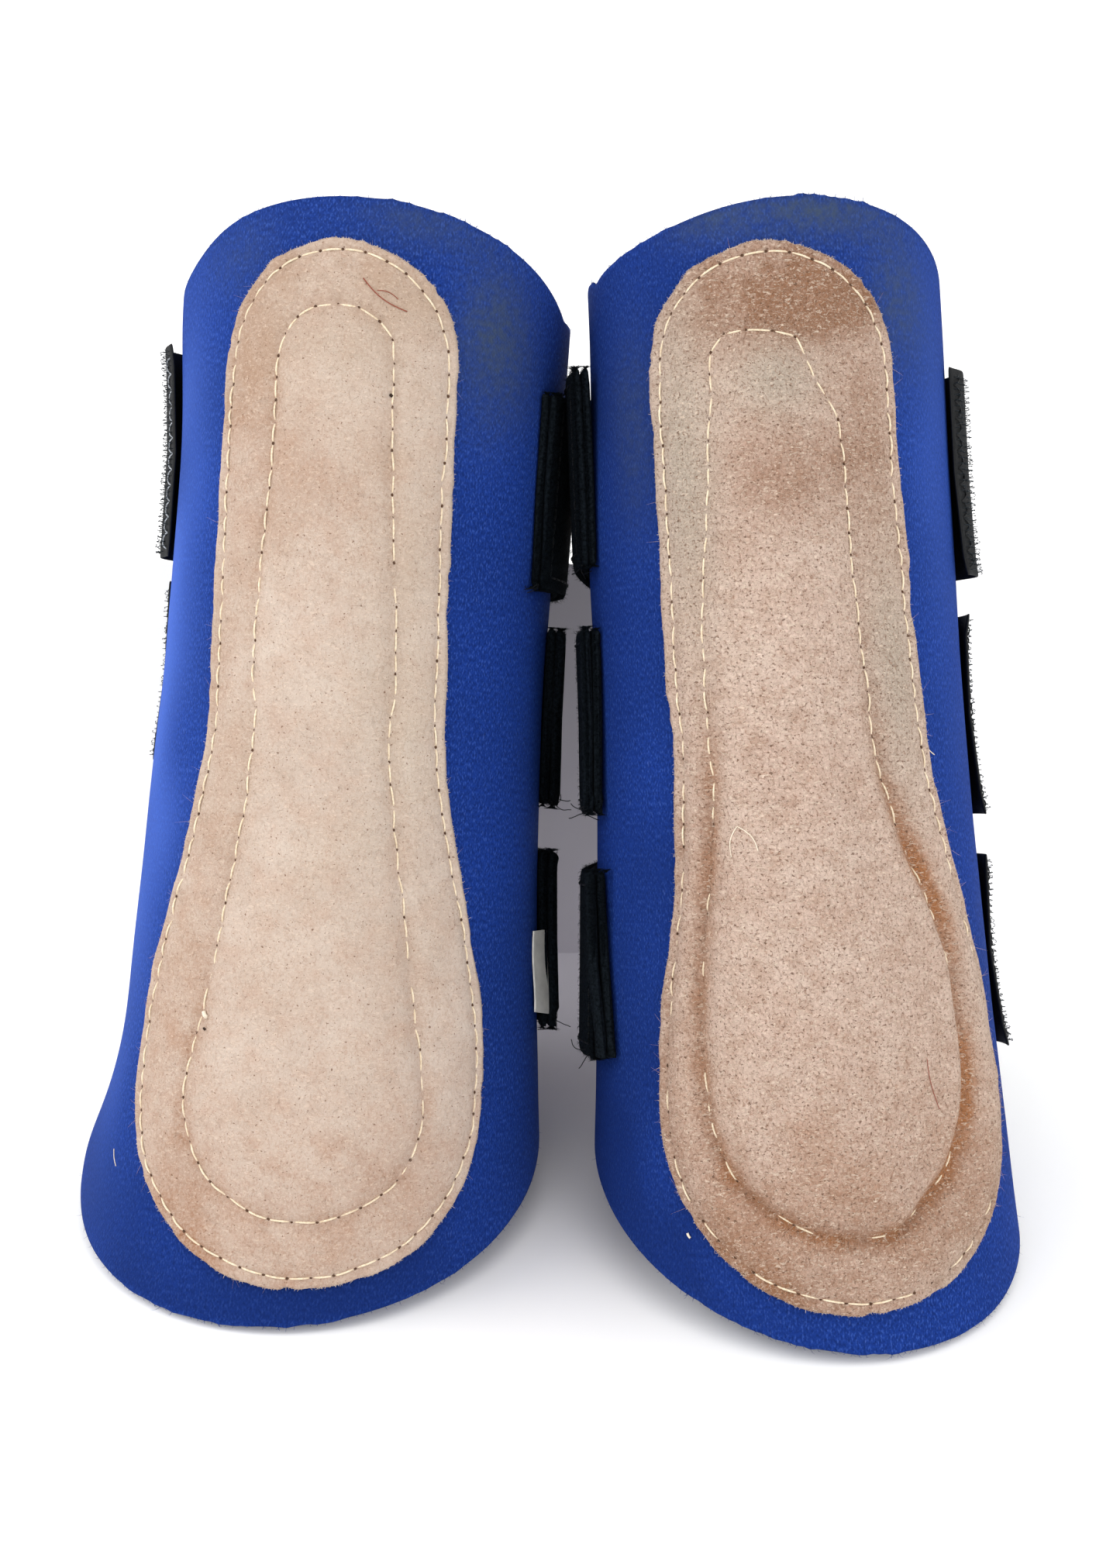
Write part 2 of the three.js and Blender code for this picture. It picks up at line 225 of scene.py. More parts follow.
# ------------------------------------------------------------------ the guards
class Guard:
    """One guard's tube, as in the CAD, and its place in the shared frame."""

    def __init__(self, name, side, turn, tip, top_half_width, taper, flare, pad_drift, dome_at, lobe_at,
                 base_from, crown):
        self.name = name
        self.side = side
        self.top_half_width = top_half_width
        self.taper = taper
        self.flare = flare
        self.pad_drift = pad_drift
        self.dome_at = np.radians(dome_at)
        self.lobe_at = np.radians(lobe_at)
        self.base_from = {level: np.radians(angle) for level, angle in base_from.items()}
        self.crown = crown
        self.body = f"{name}_guard"
        turned = Matrix.Rotation(np.radians(tip), 3, "Y") @ Matrix.Rotation(np.radians(turn), 3, "Z")
        self.rotation = np.array(Matrix.Rotation(-LEAN, 3, "X") @ turned)
        self.origin = np.zeros(3)
        self.origin = np.array(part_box(f"{name}_shell")[0]) - self.place(self.cad_shell()).min(axis=0)

    def half_width(self, z):
        flare = self.flare * np.maximum(0, 1 - z / FLARE_HEIGHT) ** 1.5
        return self.top_half_width + self.taper * (1 - z / BOOT_HEIGHT) + flare

    def wrap(self, angle, z, out):
        a = self.half_width(z)
        b = a * DEPTH_RATIO
        nx = b * np.sin(angle)
        ny = -a * np.cos(angle)
        n = np.hypot(nx, ny)
        x = a * np.sin(angle) + out * nx / n
        y = -b * np.cos(angle) + out * ny / n
        return np.stack(np.broadcast_arrays(x, y, z), axis=-1)

    def normal(self, angle, z):
        return self.wrap(angle, z, 1.0) - self.wrap(angle, z, 0.0)

    def pad_angle(self, across, z):
        if self.side < 0:
            # The strap side of the right pad is cut straighter than the other.
            across = across - STRAP_SIDE_CUT * bump(z, 140, 38) * smooth(-across / 22)
        drift = self.pad_drift * smooth((PAD_TOP - z) / (PAD_TOP - PAD_BOTTOM))
        return (across + drift) / (self.half_width(z) * (1 + DEPTH_RATIO) * 0.5)

    def cad_shell(self):
        """Corners of the CAD shell, for finding where the guard stands."""
        across, up = CAD_SHELL_STEPS
        s, t = np.meshgrid(np.linspace(0, 1, across + 1), np.linspace(0, 1, up + 1))
        angle = mix(-SHELL_EDGE, SHELL_EDGE, s)
        z = mix(self.bottom_edge(angle), self.top_edge(angle), t)
        faces = [self.wrap(angle, z, out).reshape(-1, 3) for out in (0, -SHELL_THICKNESS)]
        return np.concatenate(faces)

    def top_edge(self, angle):
        return BOOT_HEIGHT - np.minimum(SHOULDER_DROP, DOME_DROP * (angle - self.dome_at) ** 2)

    def bottom_edge(self, angle):
        turned = np.minimum(np.pi, np.abs(angle - self.lobe_at))
        return np.minimum(HEEL_RISE, LOBE_RISE * (1 - np.cos(turned)))

    def place(self, points):
        return points @ self.rotation.T * MM + self.origin


GUARDS = [
    Guard("left", side=1, turn=-8, tip=4.6, top_half_width=45.4, taper=0, flare=12.3, pad_drift=8,
          dome_at=2, lobe_at=-4, base_from={"upper": 66, "middle": 92, "lower": 95}, crown=(1.6, 2.2)),
    Guard("right", side=-1, turn=-2.6, tip=-2.8, top_half_width=41.8, taper=2, flare=7.2, pad_drift=10.3,
          dome_at=11.5, lobe_at=19.5, base_from={"upper": 70, "middle": 70, "lower": 66}, crown=(2.0, 4.0)),
]


# ------------------------------------------------------------------ meshes
class Build:
    """Gathers points and faces in a guard's own frame, then makes one object of them."""

    def __init__(self, guard):
        self.guard = guard
        self.points = []
        self.faces = []
        self.slots = []
        self.cloth = []
        self.wear_and_shading = []
        self.count = 0

    def add(self, points, faces, slot=0, cloth=None, wear_and_shading=None):
        """cloth is where each point lies on the flat cloth, in millimetres; the last argument gives its dirt
        and wear, with painted shade and painted light.
        """
        points = np.asarray(points, float).reshape(-1, 3)
        flat = np.zeros((len(points), 2)) if cloth is None else np.asarray(cloth).reshape(-1, 2)
        dirt_and_shading = np.zeros((len(points), 3)) if wear_and_shading is None else np.asarray(wear_and_shading).reshape(-1, 3)
        self.points.append(points)
        self.cloth.append(flat)
        self.wear_and_shading.append(dirt_and_shading)
        for group in faces:
            self.faces.extend((np.asarray(group) + self.count).tolist())
            self.slots.extend([slot] * len(group))
        self.count += len(points)

    def make(self, name, materials):
        mesh = bpy.data.meshes.new(name)
        mesh.from_pydata(self.guard.place(np.concatenate(self.points)).tolist(), [], self.faces)
        mesh.validate()
        mesh.polygons.foreach_set("use_smooth", np.ones(len(mesh.polygons), bool))
        mesh.polygons.foreach_set("material_index", np.array(self.slots, np.int32)[: len(mesh.polygons)])
        flat = np.concatenate(self.cloth) * MM
        flat = np.column_stack([flat, np.zeros(len(flat))])
        cloth = mesh.attributes.new("cloth", "FLOAT_VECTOR", "POINT")
        cloth.data.foreach_set("vector", flat.astype(np.float32).ravel())
        # The point attribute holds dirt and wear, and painted shade and painted light on the shell.
        wear_and_shading = mesh.attributes.new("wear_and_shading", "FLOAT_VECTOR", "POINT")
        wear_and_shading.data.foreach_set("vector", np.concatenate(self.wear_and_shading).astype(np.float32).ravel())
        for material in materials:
            mesh.materials.append(material)
        obj = bpy.data.objects.new(name, mesh)
        bpy.context.scene.collection.objects.link(obj)
        return obj


def grid_faces(rows, cols, closed=False):
    """Quads of a grid of points laid row by row; closed joins the last column to the first."""
    i, j = np.meshgrid(np.arange(rows - 1), np.arange(cols if closed else cols - 1), indexing="ij")
    k = (j + 1) % cols
    quads = np.stack([i * cols + j, i * cols + k, (i + 1) * cols + k, (i + 1) * cols + j], axis=-1)
    return quads.reshape(-1, 4)


def border(rows, cols):
    """Indices round the edge of a grid of points, counter-clockwise, starting at point 0."""
    bottom = np.arange(cols)
    right = np.arange(1, rows) * cols + cols - 1
    top = (rows - 1) * cols + np.arange(cols - 2, -1, -1)
    left = np.arange(rows - 2, 0, -1) * cols
    return np.concatenate([bottom, right, top, left])


def ring_faces(rings, count):
    return grid_faces(rings, count, closed=True)


def tubes(paths, ups, radii, sides):
    """Closed tubes, one along each path. paths is (tubes, steps, 3), ups a direction for each
    step that isn't along the path, and radii one radius for each step."""
    number, steps, _ = paths.shape
    tangent = np.gradient(paths, axis=1)
    tangent /= np.linalg.norm(tangent, axis=2, keepdims=True) + 1e-12
    ups = np.broadcast_to(ups, paths.shape)
    across = np.cross(tangent, ups)
    across /= np.linalg.norm(across, axis=2, keepdims=True) + 1e-12
    over = np.cross(across, tangent)
    turn = np.linspace(0, 2 * np.pi, sides, endpoint=False)
    radii = np.broadcast_to(radii, (number, steps))
    ring = across[:, :, None] * np.cos(turn)[:, None] + over[:, :, None] * np.sin(turn)[:, None]
    points = paths[:, :, None] + ring * radii[:, :, None, None]
    one = ring_faces(steps, sides)
    starts = np.arange(number)[:, None, None] * steps * sides
    quads = (one[None] + starts).reshape(-1, 4)
    near = (np.arange(sides)[::-1][None] + starts[:, 0]).reshape(-1, sides)
    far = (np.arange(sides)[None] + (steps - 1) * sides + starts[:, 0]).reshape(-1, sides)
    return points.reshape(-1, 3), [quads, near, far]


def fibres(roots, ups, length, radius, lean, seed):
    """Short curved hairs standing on roots, each tapering to a point."""
    draw = np.random.default_rng(seed)
    count = len(roots)
    stray = draw.normal(0, 1, (count, 3))
    stray -= ups * (stray * ups).sum(axis=1, keepdims=True)
    long = length * draw.uniform(0.5, 1.3, (count, 1))
    first = roots + (ups + stray * lean * 0.4) * long * 0.5
    last = first + (ups * 0.4 + stray * lean * 0.7) * long * 0.5
    paths = np.stack([roots - ups * 0.15, first, last], axis=1)
    side = np.cross(ups, stray) + 1e-6
    return tubes(paths, side[:, None], np.array([radius, radius * 0.8, radius * 0.25]), 3)


# ------------------------------------------------------------------ shell
def shell_grid(guard, rows, cols, inset=0.0):
    s, t = np.meshgrid(np.linspace(0, 1, cols), np.linspace(0, 1, rows))
    edge = SHELL_EDGE - inset / guard.half_width(BOOT_HEIGHT / 2)
    angle = mix(-edge, edge, s)
    top = guard.top_edge(angle) + top_trim(guard, angle)
    return angle, mix(guard.bottom_edge(angle) + inset, top - inset, t)


def top_trim(guard, angle):
    """How far the hand-cut top edge stands above the pattern's line."""
    if guard.side > 0:
        return 0 * angle
    return 8.0 * bump(angle, -1.42, 0.42) + 1.0 * bump(angle, -0.9, 0.3)


def shell_relief(guard, angle, z):
    """Soft unevenness of the foam: slow waves, and a hollow where the pad's edge is sewn down."""
    u = angle * guard.half_width(z)
    seed = 11 if guard.side > 0 else 23
    waves = 0.55 * value_noise(u / 38 + 9, z / 46, seed) + 0.18 * value_noise(u / 11, z / 14, seed + 1)
    back = smooth((np.abs(angle) - 1.3) / 0.9)
    relief = waves * (0.35 + 0.65 * back)
    if guard.side > 0:
        # The top corner on the open side bends out a little.
        relief += 3.0 * bump(angle, -1.42, 0.30) * smooth((z - 190) / 45)
        # Lower down it draws in, then flares to the bottom corner.
        drawn_in = 4.3 * bump(z, 56, 21) + 1.6 * bump(z, 88, 24) + 1.2 * bump(z, 6, 12)
        relief -= drawn_in * bump(angle, -1.5, 0.5)
        relief += 0.8 * bump(angle, -1.4, 0.4) * bump(z, 28, 10)
    if guard.side < 0:
        # The top is pressed in on the strap side.
        relief -= 2.2 * bump(angle, -1.5, 0.55) * smooth((z - 170) / 60)
        # A faint crease runs down near the strap side's lower corner.
        relief -= 0.5 * bump(u + 0.45 * z, -22.0, 1.8) * smooth((52 - z) / 20)
    return relief


def make_shell(guard):
    build = Build(guard)
    rows, cols = SHELL_GRID
    angle, z = shell_grid(guard, rows, cols)
    relief = shell_relief(guard, angle, z)
    u = angle * guard.half_width(z)
    flat = np.stack([u, z], axis=-1)
    rim = border(rows, cols)
    outer = guard.wrap(angle, z, relief).reshape(-1, 3)
    inner = guard.wrap(angle, z, relief - SHELL_THICKNESS).reshape(-1, 3)
    build.add(outer, [grid_faces(rows, cols)], 0, flat, shell_wear_and_shading(guard, u, z))
    # The raw edge, cut a little raggedly.
    rag = 0.32 * value_noise(np.arange(len(rim)) / 3.1, np.zeros(len(rim)), 3)
    rag += 0.18 * rng.uniform(-1, 1, len(rim))
    loops = []
    for out, inset in EDGE_RINGS:
        ring_angle, ring_z = (grid.ravel()[rim] for grid in shell_grid(guard, rows, cols, inset))
        ring_z = ring_z + rag * np.where(ring_z > 120, 1, -1)
        loops.append(guard.wrap(ring_angle * (1 - rag * 0.012), ring_z, out + relief.ravel()[rim]))
    loops[0] = outer[rim]
    loops[-1] = inner[rim]
    edge_flat = np.tile(flat.reshape(-1, 2)[rim], (3, 1))
    for index, slot in ((0, 0), (2, 1), (4, 1), (6, 0)):
        band = np.concatenate(loops[index:index + 3])
        build.add(band, [ring_faces(3, len(rim))[:, ::-1]], slot, edge_flat)
    build.add(inner, [grid_faces(rows, cols)[:, ::-1]], 2, flat)
    # Fuzz along the edge, pointing away from the shell's middle.
    roots = loops[1]
    middle = guard.wrap(angle.ravel()[rim] * 0.985, mix(z.ravel()[rim], BOOT_HEIGHT / 2, 0.03), 0.0)
    away = roots - middle
    away /= np.linalg.norm(away, axis=1, keepdims=True)
    pick = rng.choice(len(roots), EDGE_FUZZ_COUNT)
    points, faces = fibres(roots[pick], away[pick], 0.9, 0.04, 1.3, seed=5)
    build.add(points, faces, 0)
    shell = build.make(f"{guard.name}_neoprene_shell", [JERSEY, FOAM_EDGE, LINING])
    weld(shell)
    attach(shell, guard.body)
    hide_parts(f"{guard.name}_shell", f"{guard.name}_lining")
    width = 2 * SHELL_EDGE * guard.half_width(BOOT_HEIGHT / 2)
    area = float(sheet_area(guard)) * MM * MM


def sheet_area(guard):
    """Flat area of the shell's cut, in square millimetres."""
    angle, z = shell_grid(guard, 60, 90)
    points = guard.wrap(angle, z, -SHELL_THICKNESS / 2)
    a = points[1:, :-1] - points[:-1, :-1]
    b = points[:-1, 1:] - points[:-1, :-1]
    return np.linalg.norm(np.cross(a, b), axis=2).sum()


def shell_wear_and_shading(guard, u, z):
    """How much the jersey is rubbed grey, darkened by painted shade and lightened by painted light, each from
    0 to 1.
    """
    cloud = 0.75 + 0.5 * value_noise(u / 17 + 2, z / 21, 66)
    # Painted shade: darker low down on the left guard; on the right guard, darker on the side toward the gap
    # and low down, and a little on its far side.
    if guard.side > 0:
        painted_shade = 0.85 * smooth((62 - z) / 45)
    else:
        painted_shade = 0.65 * smooth((-u - 6) / 25) + 0.55 * smooth((95 - z) / 80) * smooth((20 - u) / 40)
        painted_shade = painted_shade + 0.25 * smooth((u - 30) / 20)
    rubbed = patches(RUBBED[guard.name], u, z)
    # Painted light: lighter where the lamps fall on the guard's outer side.
    painted_light = patches(PAINTED_LIGHT_PATCHES[guard.name], u, z)
    worn = np.stack([rubbed, painted_shade, painted_light], axis=-1)
    return np.clip(worn * cloud[..., None], 0, 1)


def weld(obj):
    """Joins points that lie on each other, so that shading runs on across the edge."""
    bpy.context.view_layer.objects.active = obj
    modifier = obj.modifiers.new("weld", "WELD")
    modifier.merge_threshold = WELD_DISTANCE
    bpy.ops.object.modifier_apply(modifier=modifier.name)


# ------------------------------------------------------------------ suede pad
def pad_half_width(z):
    flare = smooth((PAD_WAIST - z) / (PAD_WAIST - TOE_CENTRE))
    return mix(PAD_TOP_RADIUS, PAD_TOE_RADIUS, flare)


def pad_outline(inset, arc_steps, side_steps):
    """Closed outline of the pad, moved in by inset: from the bottom, up the right side and
    down the left. Columns are distance across and height."""
    turn = np.linspace(0, np.pi / 2, arc_steps, endpoint=False)
    radius = PAD_TOE_RADIUS - inset
    toe = np.column_stack([radius * np.sin(turn), TOE_CENTRE - radius * np.cos(turn)])
    z = np.linspace(TOE_CENTRE, TOP_CENTRE, side_steps, endpoint=False)
    side = np.column_stack([pad_half_width(z) - inset, z])
    turn = np.linspace(0, np.pi / 2, arc_steps + 1)
    radius = PAD_TOP_RADIUS - inset
    top = np.column_stack([radius * np.cos(turn), TOP_CENTRE + radius * np.sin(turn)])
    right = np.concatenate([toe, side, top])
    left = right[1:-1][::-1] * [-1, 1]
    return np.concatenate([right, left])


def crown_height(guard, z):
    low = smooth((190 - z) / 110)
    return mix(guard.crown[0], guard.crown[1], low)


def row_shift(guard, across, z):
    """How much nearer to the pad's edge the inner row runs than INNER_ROW_INSET says."""
    if guard.side > 0:
        return 2.6 * bump(z, 150, 28) - 3.3 * bump(z, 72, 26) + 0 * across
    strap_side = 5.5 * smooth((-across - 4) / 8) * smooth((z - 20) / 80) * smooth((225 - z) / 80)
    hook_side = (3 * bump(z, 88, 16) - 4 * bump(z, 38, 16)) * smooth((across - 6) / 8)
    arch = -5.5 * smooth((across + 12) / 12) * smooth((z - 200) / 14)
    toe = -1.5 * smooth((40 - z) / 15)
    return strap_side + hook_side + arch + toe


def pad_relief(guard, across, z, inset, holes=None):
    """Distance of the suede's face out from the shell."""
    shift = row_shift(guard, across, z)
    inner = inset + shift
    lift = crown_height(guard, z)
    worn = smooth((lift - 2.2) / 2.5)
    inside = np.maximum(0, inner - INNER_ROW_INSET)
    between = np.clip((inset - OUTER_ROW_INSET) / (INNER_ROW_INSET - shift - OUTER_ROW_INSET), 0, 1)
    ramp = mix(5.5, 5.0, worn)
    height = lift * (1 - np.exp(-inside / ramp))
    height -= mix(0.5, 1.3, worn) * bump(inner, INNER_ROW_INSET, mix(1.6, 2.8, worn))
    height += mix(0.35, 1.5, worn) * np.sin(np.pi * between) ** 0.8
    height -= 0.35 * bump(inset, OUTER_ROW_INSET, 0.8)
    height -= 0.45 * (1 - smooth(inset / 0.7))
    seed = 31 if guard.side > 0 else 43
    height += 0.30 * value_noise(across / 13 + 5, z / 17, seed)
    height += 0.12 * value_noise(across / 4.1, z / 4.7, seed + 1)
    height += 0.06 * value_noise(across / 1.3, z / 1.4, seed + 2)
    if guard.side < 0:
        # The foam has shifted: the raised middle rolls over towards the closing side.
        leaning = smooth((across + 4) / 8) * smooth((150 - z) / 30)
        height += 0.8 * bump(inner, INNER_ROW_INSET + 4.0, 2.2) * leaning
        height -= 0.6 * bump(inner, INNER_ROW_INSET + 8.0, 2.4) * leaning
        height += 1.3 * bump(inset, 6.5, 3.5) * smooth((across - 6) / 12) * bump(z, 40, 34)
        height += 0.35 * value_noise(across / 7 + 2, z / 9, 47)
    if holes is not None:
        near = nearest(np.stack([across, z], axis=-1), holes)
        height -= 0.35 * bump(near, 0, 0.75)
    return height


def nearest(points, targets):
    """Distance from each point to the nearest target."""
    flat = points.reshape(-1, 2)
    best = np.full(len(flat), 1e9)
    for start in range(0, len(targets), 40):
        some = targets[start:start + 40]
        gap = np.linalg.norm(flat[:, None] - some[None], axis=2).min(axis=1)
        best = np.minimum(best, gap)
    return best.reshape(points.shape[:-1])


def row_line(guard, inset):
    """The line that a row of stitches follows. The inner row leaves the outline of its inset."""
    even = pad_outline(inset, 60, 100)
    if inset != INNER_ROW_INSET:
        return even
    spine = np.clip(even[:, 1], TOE_CENTRE, TOP_CENTRE)
    outward = even - np.column_stack([0 * spine, spine])
    outward = outward / np.linalg.norm(outward, axis=1)[:, None]
    line = even
    for _ in range(6):
        line = even + outward * row_shift(guard, line[:, 0], line[:, 1])[:, None]
    return line


def row_ends(guard, inset):
    """Needle holes along a row, a stitch apart."""
    line = row_line(guard, inset)
    closed = np.concatenate([line, line[:1]])
    step = np.linalg.norm(np.diff(closed, axis=0), axis=1)
    run = np.concatenate([[0], np.cumsum(step)])
    count = int(round(run[-1] / STITCH_PITCH))
    at = np.linspace(0, run[-1], count, endpoint=False)
    return np.column_stack([np.interp(at, run, closed[:, 0]), np.interp(at, run, closed[:, 1])])


def pad_dirt_and_shade(guard, across, z, inset):
    """Dirt on the suede, and toward the left pad's top partly painted shade: brown, grey and orange, from 0
    to 1.
    """
    low = value_noise(across / 9 + 3, z / 12, 61) * 0.5 + 0.5
    fine = value_noise(across / 3 + 7, z / 3.5, 62) * 0.5 + 0.5
    cloud = 0.3 + 0.5 * low + 0.4 * fine
    inner = inset + row_shift(guard, across, z)
    row = bump(inner, INNER_ROW_INSET, 2.2)
    rim = 1 - smooth(inset / 12)
    brown = patches(BROWN[guard.name], across, z)
    grey = patches(GREY[guard.name], across, z)
    if guard.side > 0:
        # The brown and grey bands toward the left pad's top are partly dirt and partly painted shade.
        brown = brown + 0.65 * bump(z, 232, 17) + 0.45 * bump(z, 8, 26) + 0.14
        brown = cloud * (brown + 0.3 * smooth((-across - 12) / 12))
        brown = brown + 0.35 * bump(across, 12, 9) * bump(z, 38, 8) * fine + 0.22 * row * low
        grey = cloud * (grey + 0.5 * bump(z, 226, 24)) + 0.3 * bump(z, 130, 60) * low
        orange = 0.10 * low * fine
    else:
        brown = brown + 0.6 * bump(z, 239, 4) + 0.6 * bump(z, 24, 24)
        brown = cloud * (brown + 0.45 * rim * smooth((4 - across) / 10) * smooth((150 - z) / 40))
        brown = brown + 0.55 * row * smooth((170 - z) / 60)
        grey = grey + 0.25 * rim * smooth((across - 10) / 10) * smooth((110 - z) / 30)
        groove = bump(inner, INNER_ROW_INSET - 0.5, 3.0) * smooth((across - 4) / 6)
        orange = groove * (1.2 * bump(z, 100, 15) + 1.0 * bump(z, 52, 18)) * (0.35 + 0.9 * fine)
        orange = orange + 0.3 * bump(z, 34, 26) * low + 0.5 * row * smooth((150 - z) / 40) * fine
    return np.clip(np.stack([brown, grey, orange], axis=-1), 0, 1)


def pad_rings():
    """Rings of points from the pad's edge inwards. The hand-cut edge wanders a little."""
    rings = np.stack([pad_outline(inset, ARC_STEPS, SIDE_STEPS) for inset in PAD_INSETS])
    count = rings.shape[1]
    wander = 0.42 * value_noise(np.arange(count) / 9.0, np.zeros(count), 71)
    wander += 0.26 * value_noise(np.arange(count) / 2.2, np.ones(count), 72)
    outward = rings[0] - rings[2]
    outward /= np.linalg.norm(outward, axis=1, keepdims=True)
    fade = np.maximum(0, 1 - PAD_INSETS / 1.5)[:, None, None]
    return rings + outward[None] * wander[None, :, None] * fade


def pad_faces(count):
    """Faces of the pad's rings of count points, then of the rungs that close its middle."""
    rings = len(PAD_INSETS)
    half = count // 2
    last_ring = (rings - 1) * count
    rows = np.arange(1, half)
    index = np.full((half + 1, RUNGS + 1), -1)
    index[1:half, 0] = last_ring + (count - rows) % count
    index[1:half, -1] = last_ring + rows
    index[1:half, 1:-1] = rings * count + np.arange((half - 1) * (RUNGS - 1)).reshape(half - 1, -1)
    low, high = index[1:half - 1], index[2:half]
    middle = np.stack([low[:, :-1], low[:, 1:], high[:, 1:], high[:, :-1]], axis=-1).reshape(-1, 4)
    first, final = index[1], index[half - 1]
    foot = np.stack([np.full(RUNGS, last_ring), first[1:], first[:-1]], axis=-1)
    head = np.stack([np.full(RUNGS, last_ring + half), final[:-1], final[1:]], axis=-1)
    return [ring_faces(rings, count), middle, foot, head]


def make_pad(guard):
    build = Build(guard)
    rings = pad_rings()
    count = rings.shape[1]
    share = np.linspace(-1, 1, RUNGS + 1)[1:-1]
    rungs = rings[-1, 1:count // 2, None] * np.stack([share, np.ones_like(share)], axis=-1)[None]
    insets = np.broadcast_to(PAD_INSETS[:, None], rings.shape[:2])
    flat = np.concatenate([rings.reshape(-1, 2), rungs.reshape(-1, 2)])
    across, z = flat[:, 0], flat[:, 1]
    inset = np.concatenate([insets.ravel(), rung_insets(rungs).ravel()])
    holes = np.concatenate([row_ends(guard, OUTER_ROW_INSET), row_ends(guard, INNER_ROW_INSET)])
    height = pad_relief(guard, across, z, inset, holes)
    angle = guard.pad_angle(across, z)
    back = shell_relief(guard, angle, z) + PAD_GAP
    face = guard.wrap(angle, z, back + SUEDE_THICKNESS + height)
    wear_and_shading = pad_dirt_and_shade(guard, across, z, inset)
    faces = pad_faces(count)
    build.add(face, faces, 0, flat, wear_and_shading)
    # The cut edge, and the back of the hide, which the shell hides.
    rim = slice(0, count)
    inward = slice(2 * count, 3 * count)
    halfway = guard.wrap(angle[rim], z[rim], back[rim] + SUEDE_THICKNESS * 0.5 + height[rim] * 0.6)
    band = np.concatenate([face[rim], halfway, guard.wrap(angle[rim], z[rim], back[rim])])
    band_flat = np.tile(flat[rim], (3, 1))
    build.add(band, [ring_faces(3, count)[:, ::-1]], 1, band_flat, np.tile(wear_and_shading[rim], (3, 1)))
    build.add(guard.wrap(angle, z, back), [group[:, ::-1] for group in faces], 1, flat, wear_and_shading)
    add_fray(build, face[rim], halfway, halfway - guard.wrap(angle[inward], z[inward], back[rim] + 1))
    add_nap(build, guard)
    pad = build.make(f"{guard.name}_strike_pad", [SUEDES[guard.name], SUEDE_EDGE])
    weld(pad)
    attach(pad, guard.body)
    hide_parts(f"{guard.name}_suede_pad", f"{guard.name}_pad_foam")


def add_fray(build, top, halfway, outward):
    """Fibres that stand out of the hide's cut edge, between its face and half its thickness."""
    outward = outward / np.linalg.norm(outward, axis=1, keepdims=True)
    draw = np.random.default_rng(81)
    pick = draw.choice(len(top), FRAY_COUNT)
    after = (pick + 1) % len(top)
    along = draw.uniform(0, 1, (FRAY_COUNT, 1))
    level = draw.uniform(0, 1, (FRAY_COUNT, 1))
    roots = mix(mix(halfway[pick], halfway[after], along), mix(top[pick], top[after], along), level)
    points, faces = fibres(roots, outward[pick], 0.38, 0.06, 1.2, seed=84)
    build.add(points, faces, 1)


def suede_face(guard, across, z, inset):
    """Angle round the shell, and distance out from it, of points on the suede's face."""
    angle = guard.pad_angle(across, z)
    relief = pad_relief(guard, across, z, inset) + shell_relief(guard, angle, z)
    return angle, relief + PAD_GAP + SUEDE_THICKNESS


def add_nap(build, guard):
    """Loose fibres lying on the suede, spread evenly over it."""
    draw = np.random.default_rng(85 if guard.side > 0 else 88)
    across = draw.uniform(-PAD_TOE_RADIUS, PAD_TOE_RADIUS, NAP_COUNT)
    z = draw.uniform(PAD_BOTTOM, PAD_TOP, NAP_COUNT)
    inset = rung_insets(np.stack([across, z], axis=-1))
    across, z, inset = across[inset > 0.5], z[inset > 0.5], inset[inset > 0.5]
    angle, out = suede_face(guard, across, z, inset)
    roots = guard.wrap(angle, z, out)
    points, faces = fibres(roots, guard.normal(angle, z) * 0.35, 0.9, 0.03, 2.6, seed=86)
    each = len(points) // len(roots)
    flat = np.repeat(np.stack([across, z], axis=-1), each, axis=0)
    build.add(points, faces, 0, flat, np.repeat(pad_dirt_and_shade(guard, across, z, inset), each, axis=0))


def rung_insets(rungs):
    """Distance in from the pad's edge of the points across its middle."""
    across = np.abs(rungs[..., 0])
    z = rungs[..., 1]
    side = pad_half_width(np.clip(z, TOE_CENTRE, TOP_CENTRE)) - across
    toe = PAD_TOE_RADIUS - np.hypot(across, z - TOE_CENTRE)
    top = PAD_TOP_RADIUS - np.hypot(across, z - TOP_CENTRE)
    return np.where(z < TOE_CENTRE, toe, np.where(z > TOP_CENTRE, top, side))


def row_face(guard, ends, inset):
    """Angle and distance out of the suede's face along a row of stitches."""
    across, z = ends[..., 0], ends[..., 1]
    if inset == INNER_ROW_INSET:
        inset = inset - row_shift(guard, across, z)
    return suede_face(guard, across, z, inset)


